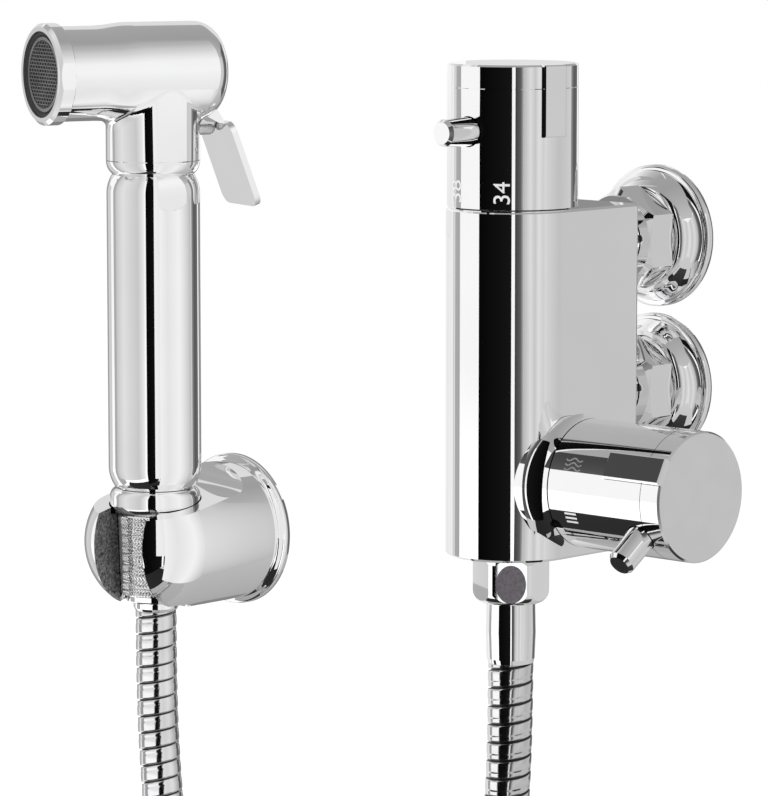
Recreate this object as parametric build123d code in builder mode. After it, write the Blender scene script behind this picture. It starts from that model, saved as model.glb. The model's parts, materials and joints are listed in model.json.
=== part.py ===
from build123d import *
from math import atan2, cos, degrees, hypot, pi, radians, sin, tan
import os

os.makedirs("parts", exist_ok=True)

# Wall-mounted thermostatic bidet shower, in millimetres.
# The wall is the plane y = 0, the room is on its -y side and z is up.
# The origin lies on the wall, midway between the two water inlets.

# Gaps
still_gap = 0.1          # between pieces that sit still in each other
running_gap = 0.3        # between pieces that turn or slide past each other
pin_gap = 0.06           # round pins, stems and shafts
seam = 0.5               # between a knob and the body behind it

# Valve body
inlet_spacing = 50.0
axis_to_wall = 74.0
body_diameter = 43.0
body_back = 38.9         # from the axis of the round front to the flat back
body_top = 38.8          # above the middle of the inlets
body_edge = 0.8
body_corner = 2.5

# Flow boss, a flared round neck on the body's side
flow_back = 9.0          # its axis lies this far behind the body's axis
flow_height = 24.8       # its axis lies this far above the body's foot
flow_drop = 15.7         # and this far below the floor of the thermostatic cartridge
boss_radius = 21.0
boss_root_radius = 24.4
boss_face = 26.0         # from the body's axis
boss_flare = 7.5

# Inlet train, as distances from the wall
flange_radius = 23.75
flange_rim = 3.4
flange_depth = 11.0
flange_hub_radius = 18.0
nut_start = 11.3
nut_length = 11.2
nut_wall = 1.8
nut_across_flats = 30.0
union_thread = 26.2      # G3/4
union_length = 17.0
union_bore = 14.0
tail_thread = 20.955     # G1/2, into the wall
tail_length = 16.0
washer_thickness = 1.5
bush_flange = 2.0
bush_neck = 21.0
bush_thread = 18.0
bush_thread_length = 8.0
bush_bore = 14.2
mesh_hole = 1.6

# Check valves in the inlet bushes
check_start = 24.0
check_length = 14.0
check_wall = 1.8
check_seat_bore = 7.0
check_seat = 1.5
poppet_diameter = 9.6
poppet_head = 2.0
poppet_stem = 2.0
poppet_travel = 3.0
spider_thickness = 2.5
spider_hub = 5.0
spider_arm = 1.4

# Thermostatic cartridge, heights from the middle of the inlets
cartridge_bore = 32.0
cartridge_floor = -34.0
cartridge_flange = 5.0
cartridge_flange_radius = 18.3
cartridge_inner_radius = 11.5
cartridge_lid = 8.8
window_width = 7.0
window_height = 6.0
window_count = 6
o_ring_thickness = 1.7
piston_wall = 1.7
piston_web = 4.0
piston_travel = 1.6
element_radius = 4.5
element_length = 32.0
stop_ring_height = 6.0

# Knobs
knob_height = 46.0
knob_cap_height = 7.7
knob_wall = 3.0
knob_edge = 0.6
temp_knob_radius = 21.2
flow_knob_radius = 21.0
hub_start = 6.7
hub_length = 10.0
hub_radius = 9.0
knob_web = 4.0
spindle_radius = 5.0
knob_screw_radius = 2.5
knob_screw_head = 4.6
knob_screw_head_height = 3.0
knob_screw_length = 9.0

# Raised bar on each knob
bar_width = 8.8
bar_length = 23.0
bar_proud = 1.2
bar_sunk = 1.4
bar_edge = 0.4

# Buttons on the knobs
button_radius = 4.65
button_proud = 12.5
button_travel = 2.5
button_end = 1.2
button_shank = 2.0
button_boss = 7.0
button_boss_inner = 12.5     # from the knob's axis
button_pocket_floor = 14.5
button_head_inner = 19.3
button_tip = 10.5
temp_button_below_top = 21.3
flow_button_below_top = 10.5
temp_button_angle = 0.0
flow_button_angle = 36.0
temp_bar_angle = 80.0
flow_bar_angle = -28.0

# Flow cartridge, distances along its own axis from the body's axis
flow_bore = 26.0
flow_bore_floor = -6.0
flow_flange_radius = 15.2
flow_flange = 4.0
flow_neck_radius = 10.5
flow_neck_end = 30.5
disc_chamber_radius = 10.0
disc_chamber_end = 7.0
disc_radius = 9.6
disc_thickness = 3.0
disc_seat = -3.5
flow_spindle_radius = 4.0

# Outlet and hose nut
outlet_thread = 20.9
outlet_length = 10.5
outlet_screwed = 10.0
outlet_bore = 10.0
hose_nut_across_flats = 22.8
hose_nut_envelope = 12.5
hose_nut_height = 15.5
hose_nut_round = 4.0
hose_washer = 2.0
ferrule_flange = 1.8
ferrule_flange_radius = 9.3
ferrule_radius = 8.2
ferrule_length = 20.0
ferrule_neck_radius = 8.0

# Hose
hose_diameter = 15.0
hose_bore = 9.0
rib_pitch = 6.1
rib_depth = 0.8
loop_shift = 8.5         # sideways step of each half turn
split_share = 0.46       # where the ribbed stretches end, along the third run
tie_height = 10.0
tie_thickness = 1.5
tie_gap = 0.3

# Route of the hose from the valve down to its loop, and from the handset down to its loop
valve_route = [
    (0.0, -74.0, -110.5),
    (0.0, -74.0, -138.0),
    (-4.3, -72.4, -174.0),
    (-14.5, -69.3, -240.0),
    (-20.5, -67.0, -290.0),
    (-20.5, -67.0, -323.0),
]
handset_route = [
    (-204.1, -41.5, -122.1),
    (-204.1, -41.5, -149.6),
    (-202.4, -41.5, -183.0),
    (-194.5, -41.5, -246.0),
    (-185.5, -41.5, -290.0),
    (-185.5, -41.5, -323.0),
]

# Handset and its wall holder
handset_x = -204.1
handset_to_wall = 41.5
collar_foot = -85.6      # height of the underside of the handset's bottom collar
nozzle_turn = 18.0       # degrees that the nozzle points away from straight out of the wall

# Handset heights, above the underside of the bottom collar
collar_height = 9.0
collar_radius = 16.5
collar_round = 3.2
grip_start = 9.6
grip_end = 123.2
grip_radius = 16.9
grip_round = 7.0         # length of each rounded end
grip_bore_radius = 13.0
neck_ring_end = 128.1
neck_ring_round = 4.8
waist_radius = 14.8
spigot_foot = 111.0
neck_start = 128.4
neck_radius = 17.0
barrel_above_ring = 31.9     # its axis, from the top of the neck ring
barrel_radius = 17.0
head_radius = 18.1
neck_blend = 4.0         # fillet between the neck and the barrel
head_swell_end = 10.0    # ahead of the handset's axis
head_slim_start = 24.0
nozzle_reach = 44.0
barrel_rear = 25.0
head_rear_round = 9.0
bezel_radius = 18.2
bezel_length = 6.2
bezel_edge = 1.2
bezel_recess = 1.6
bezel_flats = 35.2
bezel_spigot = 8.0
bezel_bore = 10.5
bezel_floor = 3.4        # depth of the spray plate's seat behind the face
barrel_bore_radius = 12.9
barrel_bore_rear = 5.0       # ahead of the handset's axis
connector_top = 22.0
connector_thread = 20.9
connector_thread_length = 11.0
connector_bore = 10.0

# Spray face
plate_radius = 13.6
plate_thickness = 2.0
spray_hole = 1.3
spray_ring_step = 2.9
spray_rings = 3
seal_radius = 15.3
seal_thickness = 2.6

# Trigger and its valve
lever_width = 27.0
lever_corner = 4.0
lever_thickness = 2.3
lever_top = (-26.2, 142.0)       # outer face, ahead of the axis and above the collar's foot
lever_foot = (-37.6, 111.5)
ear_width = 10.0
ear_radius = 2.9
ear_slot_front = -16.8
ear_slot_foot = 141.0
ear_slot_top = 150.4
pivot_ahead = -20.0
pivot_height = 146.6
pin_radius = 1.5
pin_length = 14.6
stem_above_ring = 10.6
stem_radius = 2.0
stem_end = -22.7         # centre of the stem's round end
stem_disc_radius = 5.6
stem_disc = 2.0
stem_travel = 1.8
valve_seat = 3.0
valve_seat_wall = 2.0
valve_seat_bore = 3.5
chamber_radius = 6.6
chamber_rear_radius = 5.0
chamber_rear = -11.0
chamber_front = 10.6
feed_ahead = -5.0
feed_radius = 4.0
riser_ahead = 7.2
riser_radius = 2.5

# Cone nut on the handset's end of the hose
cone_top_radius = 13.8
cone_foot_radius = 12.7
cone_length = 30.5
lip_radius = 10.9
lip_height = 2.6
cone_gap = 0.3
hose_end_drop = 36.5     # from the collar's underside down to the hose
hose_end_radius = 8.2
hose_end_neck = 6.6

# Holder
socket_radius = 26.0
socket_centre = -11.0     # from the collar's underside
holder_body_radius = 25.2
holder_step = 4.0        # from the wall to the back of the holder's body
holder_ring_radius = 28.0
holder_ring_edge = 1.4
slot_width = 21.0
slot_turn = 12.0         # degrees from straight out of the wall, towards the valve
mouth_tilt = 9.5
mouth_turn = 25.0
mouth_height = 3.7
mouth_back = 11.5        # from the wall
mouth_round = 7.5
socket_gap = 0.4
backplate_radius = 20.5
backplate_thickness = 9.0
backplate_hollow = 12.0
screw_spacing = 28.0
screw_radius = 2.0
screw_shank_radius = 1.6     # plain shank inside the plate
screw_head_radius = 4.0
screw_head_height = 2.4
screw_length = 25.0
grub_radius = 2.0
grub_to_wall = 6.6

# Places that follow from the sizes above
axis_y = -axis_to_wall
body_radius = body_diameter / 2
flow_z = cartridge_floor - flow_drop
body_foot = flow_z - flow_height
back_y = axis_y + body_back
inlet_heights = (inlet_spacing / 2, -inlet_spacing / 2)
flow_y = axis_y + flow_back
flange_floor = body_top - cartridge_flange - 1
union_tip = union_length
bush_face = union_tip + washer_thickness
hose_radius = hose_diameter / 2
handset_y = -handset_to_wall
barrel_height = neck_ring_end + barrel_above_ring
stem_height = neck_ring_end + stem_above_ring
holder_z = collar_foot + socket_centre
front = (0, -1, 0)
nozzle_dir = (-sin(radians(nozzle_turn)), -cos(radians(nozzle_turn)), 0)

# Each side plane has its y direction along the axis that pieces are turned about
valve_side = Plane((0, axis_y, 0), x_dir=(1, 0, 0), z_dir=(0, -1, 0))
flow_side = Plane((0, flow_y, flow_z), x_dir=(0, 0, 1), z_dir=(0, 1, 0))
handset = Plane((handset_x, handset_y, collar_foot), x_dir=nozzle_dir, z_dir=(0, 0, 1))
handset_side = Plane(handset.origin, x_dir=handset.x_dir, z_dir=-handset.y_dir)
barrel_origin = handset.from_local_coords((0, 0, barrel_height))
barrel_side = Plane(barrel_origin, x_dir=(0, 0, 1), z_dir=handset.y_dir)
holder_side = Plane((handset_x, 0, holder_z), x_dir=(1, 0, 0), z_dir=(0, 0, -1))


def inlet_side(height):
    """The side plane of an inlet, whose y direction points out of the wall."""
    return Plane((0, 0, height), x_dir=(1, 0, 0), z_dir=(0, 0, -1))


def turned(side, *outline, mode=Mode.ADD):
    """Turn a closed outline of (radius, height) points about the side plane's y direction."""
    with BuildSketch(side) as section:
        with BuildLine():
            Polyline(*outline, close=True)
        make_face()
    revolve(section.sketch, axis=Axis(side.origin, side.y_dir), mode=mode)


def tube(side, outer, inner, low, high):
    """A plain turned tube between two heights."""
    turned(side, (inner, low), (outer, low), (outer, high), (inner, high))


def rod(side, radius, low, high, mode=Mode.ADD):
    """A plain turned rod between two heights."""
    turned(side, (0, low), (radius, low), (radius, high), (0, high), mode=mode)


# Valve body: a round front with a flat-sided back, a flared boss, and its bores
with BuildPart() as valve_body:
    with BuildSketch(Plane.XY.offset(body_foot)):
        with Locations((0, axis_y)):
            Circle(body_radius)
            Rectangle(body_diameter, body_back, align=(Align.CENTER, Align.MIN))
    extrude(amount=body_top - body_foot)
    back_corners = valve_body.edges().filter_by(Axis.Z).group_by(Axis.Y)[-1]
    fillet(back_corners, body_corner)
    body_ends = valve_body.faces().filter_by(Axis.Z)
    chamfer(body_ends.edges(), body_edge)
    with BuildSketch(flow_side):
        with BuildLine():
            flare_foot = (boss_root_radius, boss_face - boss_flare)
            Line((0, 0), (boss_root_radius, 0))
            Line((boss_root_radius, 0), flare_foot)
            TangentArc((boss_radius, boss_face), flare_foot, tangent=(0, -1))
            Line((boss_radius, boss_face), (0, boss_face))
            Line((0, boss_face), (0, 0))
        make_face()
    revolve(axis=Axis(flow_side.origin, flow_side.y_dir))
    with Locations((0, axis_y, body_top)):
        CounterBoreHole(
            cartridge_bore / 2,
            cartridge_flange_radius + running_gap,
            body_top - flange_floor,
            depth=body_top - cartridge_floor,
        )
    with Locations(Plane((boss_face, flow_y, flow_z), z_dir=(1, 0, 0))):
        CounterBoreHole(
            flow_bore / 2,
            flow_flange_radius + running_gap,
            flow_flange,
            depth=boss_face - flow_bore_floor,
        )
    for inlet_height in inlet_heights:
        with Locations(Plane((0, back_y, inlet_height), z_dir=(0, 1, 0))):
            CounterBoreHole(
                bush_bore / 2,
                bush_thread / 2 + still_gap,
                bush_thread_length,
                depth=body_back - cartridge_bore / 4,
            )
    with Locations((0, axis_y, cartridge_floor)):
        Hole(outlet_bore / 2, depth=cartridge_floor - flow_z)
    with Locations(Plane((0, axis_y, body_foot), z_dir=(0, 0, -1))):
        CounterBoreHole(
            outlet_bore / 2,
            bush_thread / 2 + still_gap,
            outlet_screwed + still_gap,
            depth=flow_z - body_foot,
        )
valve_body.part.label = "valve_body"
export_step(valve_body.part, "parts/valve_body.step")

# Wall flanges: shallow turned covers round the wall unions
with BuildPart() as wall_flanges:
    for inlet_height in inlet_heights:
        hub_bore = union_thread / 2 + running_gap
        turned(
            inlet_side(inlet_height),
            (hub_bore, 0),
            (flange_radius - 0.6, 0),
            (flange_radius, 0.6),
            (flange_radius, flange_rim - 0.8),
            (flange_radius - 0.8, flange_rim),
            (flange_radius - 2.2, flange_rim + 0.2),
            (flange_hub_radius + 1.5, flange_depth - 3.4),
            (flange_hub_radius - 0.4, flange_depth - 0.8),
            (flange_hub_radius - 1.6, flange_depth),
            (hub_bore, flange_depth),
        )
wall_flanges.part.label = "wall_flanges"
export_step(wall_flanges.part, "parts/wall_flanges.step")

# Wall unions: threaded tails into the wall, with a larger thread for the nut
with BuildPart() as wall_unions:
    for inlet_height in inlet_heights:
        union_side = inlet_side(inlet_height)
        turned(
            union_side,
            (union_bore / 2, -tail_length),
            (tail_thread / 2 - 1, -tail_length),
            (tail_thread / 2, 1 - tail_length),
            (tail_thread / 2, 0),
            (union_thread / 2, 0),
            (union_thread / 2, union_tip - 1),
            (union_thread / 2 - 1, union_tip),
            (union_bore / 2, union_tip),
        )
wall_unions.part.label = "wall_unions"
export_step(wall_unions.part, "parts/wall_unions.step")

# Filter washers between the unions and the bushes
with BuildPart() as filter_washers:
    for inlet_height in inlet_heights:
        washer_side = inlet_side(inlet_height)
        tube(washer_side, union_thread / 2 - 1.2, union_bore / 2, union_tip, bush_face)
        with BuildSketch(Plane((0, -bush_face, inlet_height), z_dir=(0, 1, 0))) as mesh:
            Circle(union_bore / 2)
            with HexLocations(mesh_hole * 0.95, 5, 5):
                Circle(mesh_hole / 2, mode=Mode.SUBTRACT)
        extrude(mesh.sketch, amount=washer_thickness / 3)
filter_washers.part.label = "filter_washers"
export_step(filter_washers.part, "parts/filter_washers.step")

# Inlet bushes: screwed into the body's back, each holding its union nut by a flange
with BuildPart() as inlet_bushes:
    for inlet_height in inlet_heights:
        bush_end = axis_to_wall - body_back
        turned(
            inlet_side(inlet_height),
            (bush_bore / 2, bush_face),
            (union_thread / 2 - 0.5, bush_face),
            (union_thread / 2 - 0.5, bush_face + bush_flange),
            (bush_neck / 2, bush_face + bush_flange),
            (bush_neck / 2, bush_end),
            (bush_thread / 2, bush_end),
            (bush_thread / 2, bush_end + bush_thread_length),
            (bush_bore / 2, bush_end + bush_thread_length),
        )
inlet_bushes.part.label = "inlet_bushes"
export_step(inlet_bushes.part, "parts/inlet_bushes.step")

# Union nuts: hexagons with a turned chamfer, corners up and down
with BuildPart() as union_nuts:
    for inlet_height in inlet_heights:
        nut_side = inlet_side(inlet_height)
        nut_end = nut_start + nut_length
        nut_corner = nut_across_flats / 2 / cos(pi / 6)
        with BuildSketch(Plane((0, -nut_start, inlet_height), x_dir=(0, 0, 1), z_dir=(0, -1, 0))) as hexagon:
            RegularPolygon(nut_across_flats / 2, 6, major_radius=False)
        extrude(hexagon.sketch, amount=nut_length)
        turned(
            nut_side,
            (nut_across_flats / 2 - 0.4, nut_end + 1),
            (nut_across_flats / 2 - 0.4, nut_end),
            (nut_corner + 0.5, nut_end - 1.9),
            (nut_corner + 0.5, nut_end + 1),
            mode=Mode.SUBTRACT,
        )
        rod(nut_side, union_thread / 2 + still_gap, nut_start - 1, nut_end - nut_wall, mode=Mode.SUBTRACT)
        rod(nut_side, bush_neck / 2 + running_gap, nut_start, nut_end + 1, mode=Mode.SUBTRACT)
union_nuts.part.label = "union_nuts"
export_step(union_nuts.part, "parts/union_nuts.step")

# Check valve housings: a seat towards the wall and a three-armed guide towards the body
with BuildPart() as check_valves:
    for inlet_height in inlet_heights:
        check_side = inlet_side(inlet_height)
        check_radius = bush_bore / 2 - still_gap
        check_inner = check_radius - check_wall
        check_end = check_start + check_length
        turned(
            check_side,
            (check_seat_bore / 2, check_start),
            (check_radius, check_start),
            (check_radius, check_end),
            (check_inner, check_end),
            (check_inner, check_start + check_seat),
            (check_seat_bore / 2, check_start + check_seat),
        )
        with BuildSketch(Plane((0, -check_end, inlet_height), z_dir=(0, 1, 0))) as spider:
            Circle(spider_hub / 2)
            with PolarLocations(0, 3):
                Rectangle(check_inner + 0.4, spider_arm, align=(Align.MIN, Align.CENTER))
            Circle(poppet_stem / 2 + 0.2, mode=Mode.SUBTRACT)
        extrude(spider.sketch, amount=spider_thickness)
check_valves.part.label = "check_valves"
export_step(check_valves.part, "parts/check_valves.step")

# Springs of the check valves, shown as plain sleeves on the guides
with BuildPart() as check_springs:
    for inlet_height in inlet_heights:
        spring_foot = check_start + check_length - spider_thickness
        spring_head = check_start + check_seat + poppet_head + poppet_travel + running_gap
        tube(inlet_side(inlet_height), 3.8, 2.9, spring_head, spring_foot)
check_springs.part.label = "check_springs"
export_step(check_springs.part, "parts/check_springs.step")

# Check poppets, one in each inlet
for poppet_name, inlet_height in zip(("cold", "hot"), inlet_heights):
    with BuildPart() as check_poppet:
        poppet_side = inlet_side(inlet_height)
        poppet_foot = check_start + check_seat + 0.1
        poppet_end = check_start + check_length - 0.4
        turned(
            poppet_side,
            (0, poppet_foot),
            (poppet_diameter / 2, poppet_foot),
            (poppet_diameter / 2, poppet_foot + poppet_head / 2),
            (poppet_diameter / 2 - 1, poppet_foot + poppet_head),
            (poppet_stem / 2, poppet_foot + poppet_head),
            (poppet_stem / 2, poppet_end),
            (0, poppet_end),
        )
    check_poppet.part.label = f"check_poppet_{poppet_name}"
    export_step(check_poppet.part, f"parts/check_poppet_{poppet_name}.step")

# Thermostatic cartridge: a flanged sleeve with a ring of windows at each inlet
cartridge_radius = cartridge_bore / 2 - still_gap
o_ring_heights = (31.0, 0.0, -31.0)
groove_floor = cartridge_bore / 2 - o_ring_thickness - still_gap / 2
with BuildPart() as thermostatic_cartridge:
    cartridge_top = flange_floor + cartridge_flange
    turned(
        valve_side,
        (0, cartridge_floor + 0.4),
        (cartridge_radius, cartridge_floor + 0.4),
        (cartridge_radius, flange_floor),
        (cartridge_flange_radius, flange_floor),
        (cartridge_flange_radius, cartridge_top),
        (0, cartridge_top),
    )
    rod(valve_side, cartridge_inner_radius, cartridge_floor + 3.4, cartridge_top - cartridge_lid, Mode.SUBTRACT)
    rod(valve_side, spindle_radius + pin_gap, cartridge_top - cartridge_lid - 1, cartridge_top + 1, Mode.SUBTRACT)
    rod(valve_side, outlet_bore / 2, cartridge_floor, cartridge_floor + 4, Mode.SUBTRACT)
    for inlet_height in inlet_heights:
        for window in range(window_count):
            window_turn = 360 / window_count * (window + 0.5)
            window_base = Plane((0, axis_y, inlet_height)).rotated((0, 0, window_turn))
            window_face = Plane(window_base.origin, x_dir=window_base.y_dir, z_dir=window_base.x_dir)
            with BuildSketch(window_face) as window_outline:
                RectangleRounded(window_width, window_height, 1.2)
            extrude(window_outline.sketch, amount=cartridge_bore, mode=Mode.SUBTRACT)
    for ring_height in o_ring_heights:
        turned(
            valve_side,
            (groove_floor, ring_height - 1.1),
            (cartridge_bore, ring_height - 1.1),
            (cartridge_bore, ring_height + 1.1),
            (groove_floor, ring_height + 1.1),
            mode=Mode.SUBTRACT,
        )
thermostatic_cartridge.part.label = "thermostatic_cartridge"
export_step(thermostatic_cartridge.part, "parts/thermostatic_cartridge.step")

# O-rings in the cartridge's grooves
with BuildPart() as cartridge_o_rings:
    for ring_height in o_ring_heights:
        with BuildSketch(valve_side) as ring_section:
            with Locations((groove_floor + o_ring_thickness / 2, ring_height)):
                Circle(o_ring_thickness / 2)
        revolve(ring_section.sketch, axis=Axis(valve_side.origin, valve_side.y_dir))
cartridge_o_rings.part.label = "cartridge_o_rings"
export_step(cartridge_o_rings.part, "parts/cartridge_o_rings.step")

# Mixing piston: a sleeve whose ends open and close the windows, with a holed web
piston_radius = cartridge_inner_radius - running_gap
piston_inner = piston_radius - piston_wall
piston_end = inlet_spacing / 2 - window_height / 2 - 0.5
with BuildPart() as mixing_piston:
    tube(valve_side, piston_radius, piston_inner, -piston_end, piston_end)
    with BuildSketch(Plane((0, axis_y, -piston_web / 2))) as web:
        Circle(piston_inner + 0.3)
        Circle(element_radius + running_gap, mode=Mode.SUBTRACT)
        with PolarLocations((piston_inner + element_radius) / 2, 6):
            Circle(1.5, mode=Mode.SUBTRACT)
    extrude(web.sketch, amount=piston_web)
mixing_piston.part.label = "mixing_piston"
export_step(mixing_piston.part, "parts/mixing_piston.step")

# Thermostat element: a wax capsule with a collar that sits on the piston's web
with BuildPart() as thermostat_element:
    turned(
        valve_side,
        (0, -element_length / 2),
        (element_radius - 1, -element_length / 2),
        (element_radius, 1 - element_length / 2),
        (element_radius, piston_web / 2),
        (element_radius + 1.8, piston_web / 2),
        (element_radius + 1.8, piston_web / 2 + 2),
        (element_radius - 1.5, piston_web / 2 + 3.5),
        (element_radius - 1.5, element_length / 2),
        (0, element_length / 2),
    )
thermostat_element.part.label = "thermostat_element"
export_step(thermostat_element.part, "parts/thermostat_element.step")

# Return spring under the piston, shown as a plain sleeve
with BuildPart() as return_spring:
    spring_foot = cartridge_floor + 3.4
    spring_head = -piston_web / 2 - piston_travel - running_gap
    tube(valve_side, piston_inner - 1.2, piston_inner - 2.6, spring_foot, spring_head)
return_spring.part.label = "return_spring"
export_step(return_spring.part, "parts/return_spring.step")

# Stop ring on top of the cartridge, inside the temperature knob
with BuildPart() as temp_stop_ring:
    tube(valve_side, cartridge_flange_radius - 2.5, hub_radius + 1.5, cartridge_top, cartridge_top + stop_ring_height)
    with BuildSketch(Plane((0, axis_y, cartridge_top + stop_ring_height / 2))) as notches:
        with PolarLocations(cartridge_flange_radius - 2.5, 12, start_angle=15):
            Circle(1.5)
    extrude(notches.sketch, amount=stop_ring_height, mode=Mode.SUBTRACT)
temp_stop_ring.part.label = "temp_stop_ring"
export_step(temp_stop_ring.part, "parts/temp_stop_ring.step")

# Temperature spindle: turns in the cartridge's lid and carries the knob
temp_base = Plane((0, axis_y, body_top + seam), x_dir=front, z_dir=(0, 0, 1))
flow_base = Plane((boss_face + seam, flow_y, flow_z), x_dir=front, z_dir=(1, 0, 0))
temp_start = body_top + seam
flow_start = boss_face + seam
hub_end = hub_start + hub_length
with BuildPart() as temp_spindle:
    lid_foot = cartridge_top - cartridge_lid
    turned(
        valve_side,
        (0, element_length / 2 + piston_travel + running_gap),
        (2.6, element_length / 2 + piston_travel + running_gap),
        (3.0, lid_foot - 2.8),
        (7.5, lid_foot - 2.8),
        (7.5, lid_foot - running_gap),
        (spindle_radius, lid_foot - running_gap),
        (spindle_radius, temp_start + hub_end - 0.5),
        (knob_screw_radius, temp_start + hub_end - 0.5),
        (knob_screw_radius, temp_start + hub_end - knob_screw_length - 0.5),
        (0, temp_start + hub_end - knob_screw_length - 0.5),
    )
temp_spindle.part.label = "temp_spindle"
export_step(temp_spindle.part, "parts/temp_spindle.step")


def radial(base, angle, height, radius):
    """A plane that faces out of a knob, at an angle, height and radius in the knob's own frame."""
    outward = base.x_dir * cos(radians(angle)) + base.y_dir * sin(radians(angle))
    return Plane(base.origin + base.z_dir * height + outward * radius, x_dir=base.z_dir, z_dir=outward)


# Knobs: each has a sleeve with hub and web, a cap, a raised bar, a screw and a button with its spring
knobs = [
    ("temp", temp_base, temp_knob_radius, spindle_radius, temp_bar_angle,
     temp_button_angle, knob_height - temp_button_below_top, "safety_button"),
    ("flow", flow_base, flow_knob_radius, flow_spindle_radius, flow_bar_angle,
     flow_button_angle, knob_height - flow_button_below_top, "flow_button"),
]
for knob, base, knob_radius, bore_radius, bar_angle, button_angle, button_height, button_name in knobs:
    side = Plane(base.origin, x_dir=base.x_dir, z_dir=-base.y_dir)
    sleeve_height = knob_height - knob_cap_height
    inner_radius = knob_radius - knob_wall
    bar_floor = knob_radius - bar_sunk
    bar_top = knob_radius + bar_proud

    with BuildPart() as knob_sleeve:
        tube(side, knob_radius, inner_radius, 0, sleeve_height)
        tube(side, inner_radius + 0.5, hub_radius, hub_end - knob_web, hub_end)
        tube(side, hub_radius, bore_radius + pin_gap, hub_start, hub_end)
        with Locations(radial(base, button_angle, button_height, button_boss_inner)):
            Cylinder(button_boss, inner_radius - button_boss_inner + 1.2, align=(Align.CENTER, Align.CENTER, Align.MIN))
        tube_top = Plane(base.from_local_coords((0, 0, sleeve_height)), x_dir=base.x_dir, z_dir=base.z_dir)
        with BuildSketch(tube_top) as above:
            Circle(knob_radius + 1)
        extrude(above.sketch, amount=knob_cap_height, mode=Mode.SUBTRACT)
        with Locations(radial(base, button_angle, button_height, knob_radius + 1)):
            CounterBoreHole(
                button_shank + running_gap,
                button_radius + running_gap,
                knob_radius + 1 - button_pocket_floor,
                depth=knob_radius,
            )
        with Locations(radial(base, bar_angle, knob_height, bar_floor)):
            Box(
                2 * bar_length,
                bar_width + 2 * still_gap,
                bar_proud + bar_sunk,
                align=(Align.CENTER, Align.CENTER, Align.MIN),
                mode=Mode.SUBTRACT,
            )
    knob_sleeve.part.label = f"{knob}_knob_sleeve"
    export_step(knob_sleeve.part, f"parts/{knob}_knob_sleeve.step")

    with BuildPart() as knob_cap:
        turned(
            side,
            (0, sleeve_height - 2.5),
            (inner_radius - still_gap, sleeve_height - 2.5),
            (inner_radius - still_gap, sleeve_height + 0.2),
            (knob_radius, sleeve_height + 0.2),
            (knob_radius, knob_height - knob_edge),
            (knob_radius - knob_edge, knob_height),
            (0, knob_height),
        )
        pressed_tip = button_tip - button_travel - running_gap
        with Locations(radial(base, button_angle, button_height, pressed_tip)):
            outward = (Align.CENTER, Align.CENTER, Align.MIN)
            Cylinder(button_boss + running_gap, inner_radius - pressed_tip, align=outward, mode=Mode.SUBTRACT)
            Cylinder(button_radius + running_gap, knob_radius, align=outward, mode=Mode.SUBTRACT)
        with Locations(radial(base, bar_angle, knob_height, bar_floor)):
            Box(
                2 * bar_length,
                bar_width + 2 * still_gap,
                bar_proud + bar_sunk,
                align=(Align.CENTER, Align.CENTER, Align.MIN),
                mode=Mode.SUBTRACT,
            )
    knob_cap.part.label = f"{knob}_knob_cap"
    export_step(knob_cap.part, f"parts/{knob}_knob_cap.step")

    with BuildPart() as knob_bar:
        with Locations(radial(base, bar_angle, knob_height - bar_length / 2, bar_floor)):
            Box(bar_length, bar_width, bar_proud + bar_sunk, align=(Align.CENTER, Align.CENTER, Align.MIN))
        bar_direction = radial(base, bar_angle, 0, 0).z_dir
        bar_face = knob_bar.faces().sort_by(Axis(base.origin, bar_direction))[-1]
        chamfer(bar_face.edges(), bar_edge)
    knob_bar.part.label = f"{knob}_knob_bar"
    export_step(knob_bar.part, f"parts/{knob}_knob_bar.step")

    with BuildPart() as knob_screw:
        turned(
            side,
            (0, hub_end - knob_screw_length),
            (knob_screw_radius - pin_gap, hub_end - knob_screw_length),
            (knob_screw_radius - pin_gap, hub_end),
            (knob_screw_head, hub_end),
            (knob_screw_head, hub_end + knob_screw_head_height - 1),
            (knob_screw_head - 1, hub_end + knob_screw_head_height),
            (0, hub_end + knob_screw_head_height),
        )
        screw_top = Plane(base.from_local_coords((0, 0, hub_end + knob_screw_head_height)), z_dir=base.z_dir)
        with BuildSketch(screw_top) as recess:
            RegularPolygon(1.7, 6)
        extrude(recess.sketch, amount=-1.6, mode=Mode.SUBTRACT)
    knob_screw.part.label = f"{knob}_knob_screw"
    export_step(knob_screw.part, f"parts/{knob}_knob_screw.step")

    with BuildPart() as knob_button:
        button_side = radial(base, button_angle, button_height, 0)
        button_axis = Plane(button_side.origin, x_dir=button_side.x_dir, z_dir=-button_side.y_dir)
        turned(
            button_axis,
            (0, button_tip),
            (button_shank, button_tip),
            (button_shank, button_head_inner),
            (button_radius, button_head_inner),
            (button_radius, knob_radius + 1.5),
            (button_radius - 0.25, knob_radius + button_proud - button_end),
            (button_radius - button_end, knob_radius + button_proud),
            (0, knob_radius + button_proud),
        )
    knob_button.part.label = button_name
    export_step(knob_button.part, f"parts/{button_name}.step")

    with BuildPart() as button_spring:
        spring_top = button_head_inner - button_travel - running_gap
        tube(button_axis, button_radius - 0.4, button_radius - 1.3, button_pocket_floor, spring_top)
    button_spring.part.label = f"{knob}_button_spring"
    export_step(button_spring.part, f"parts/{knob}_button_spring.step")

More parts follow.
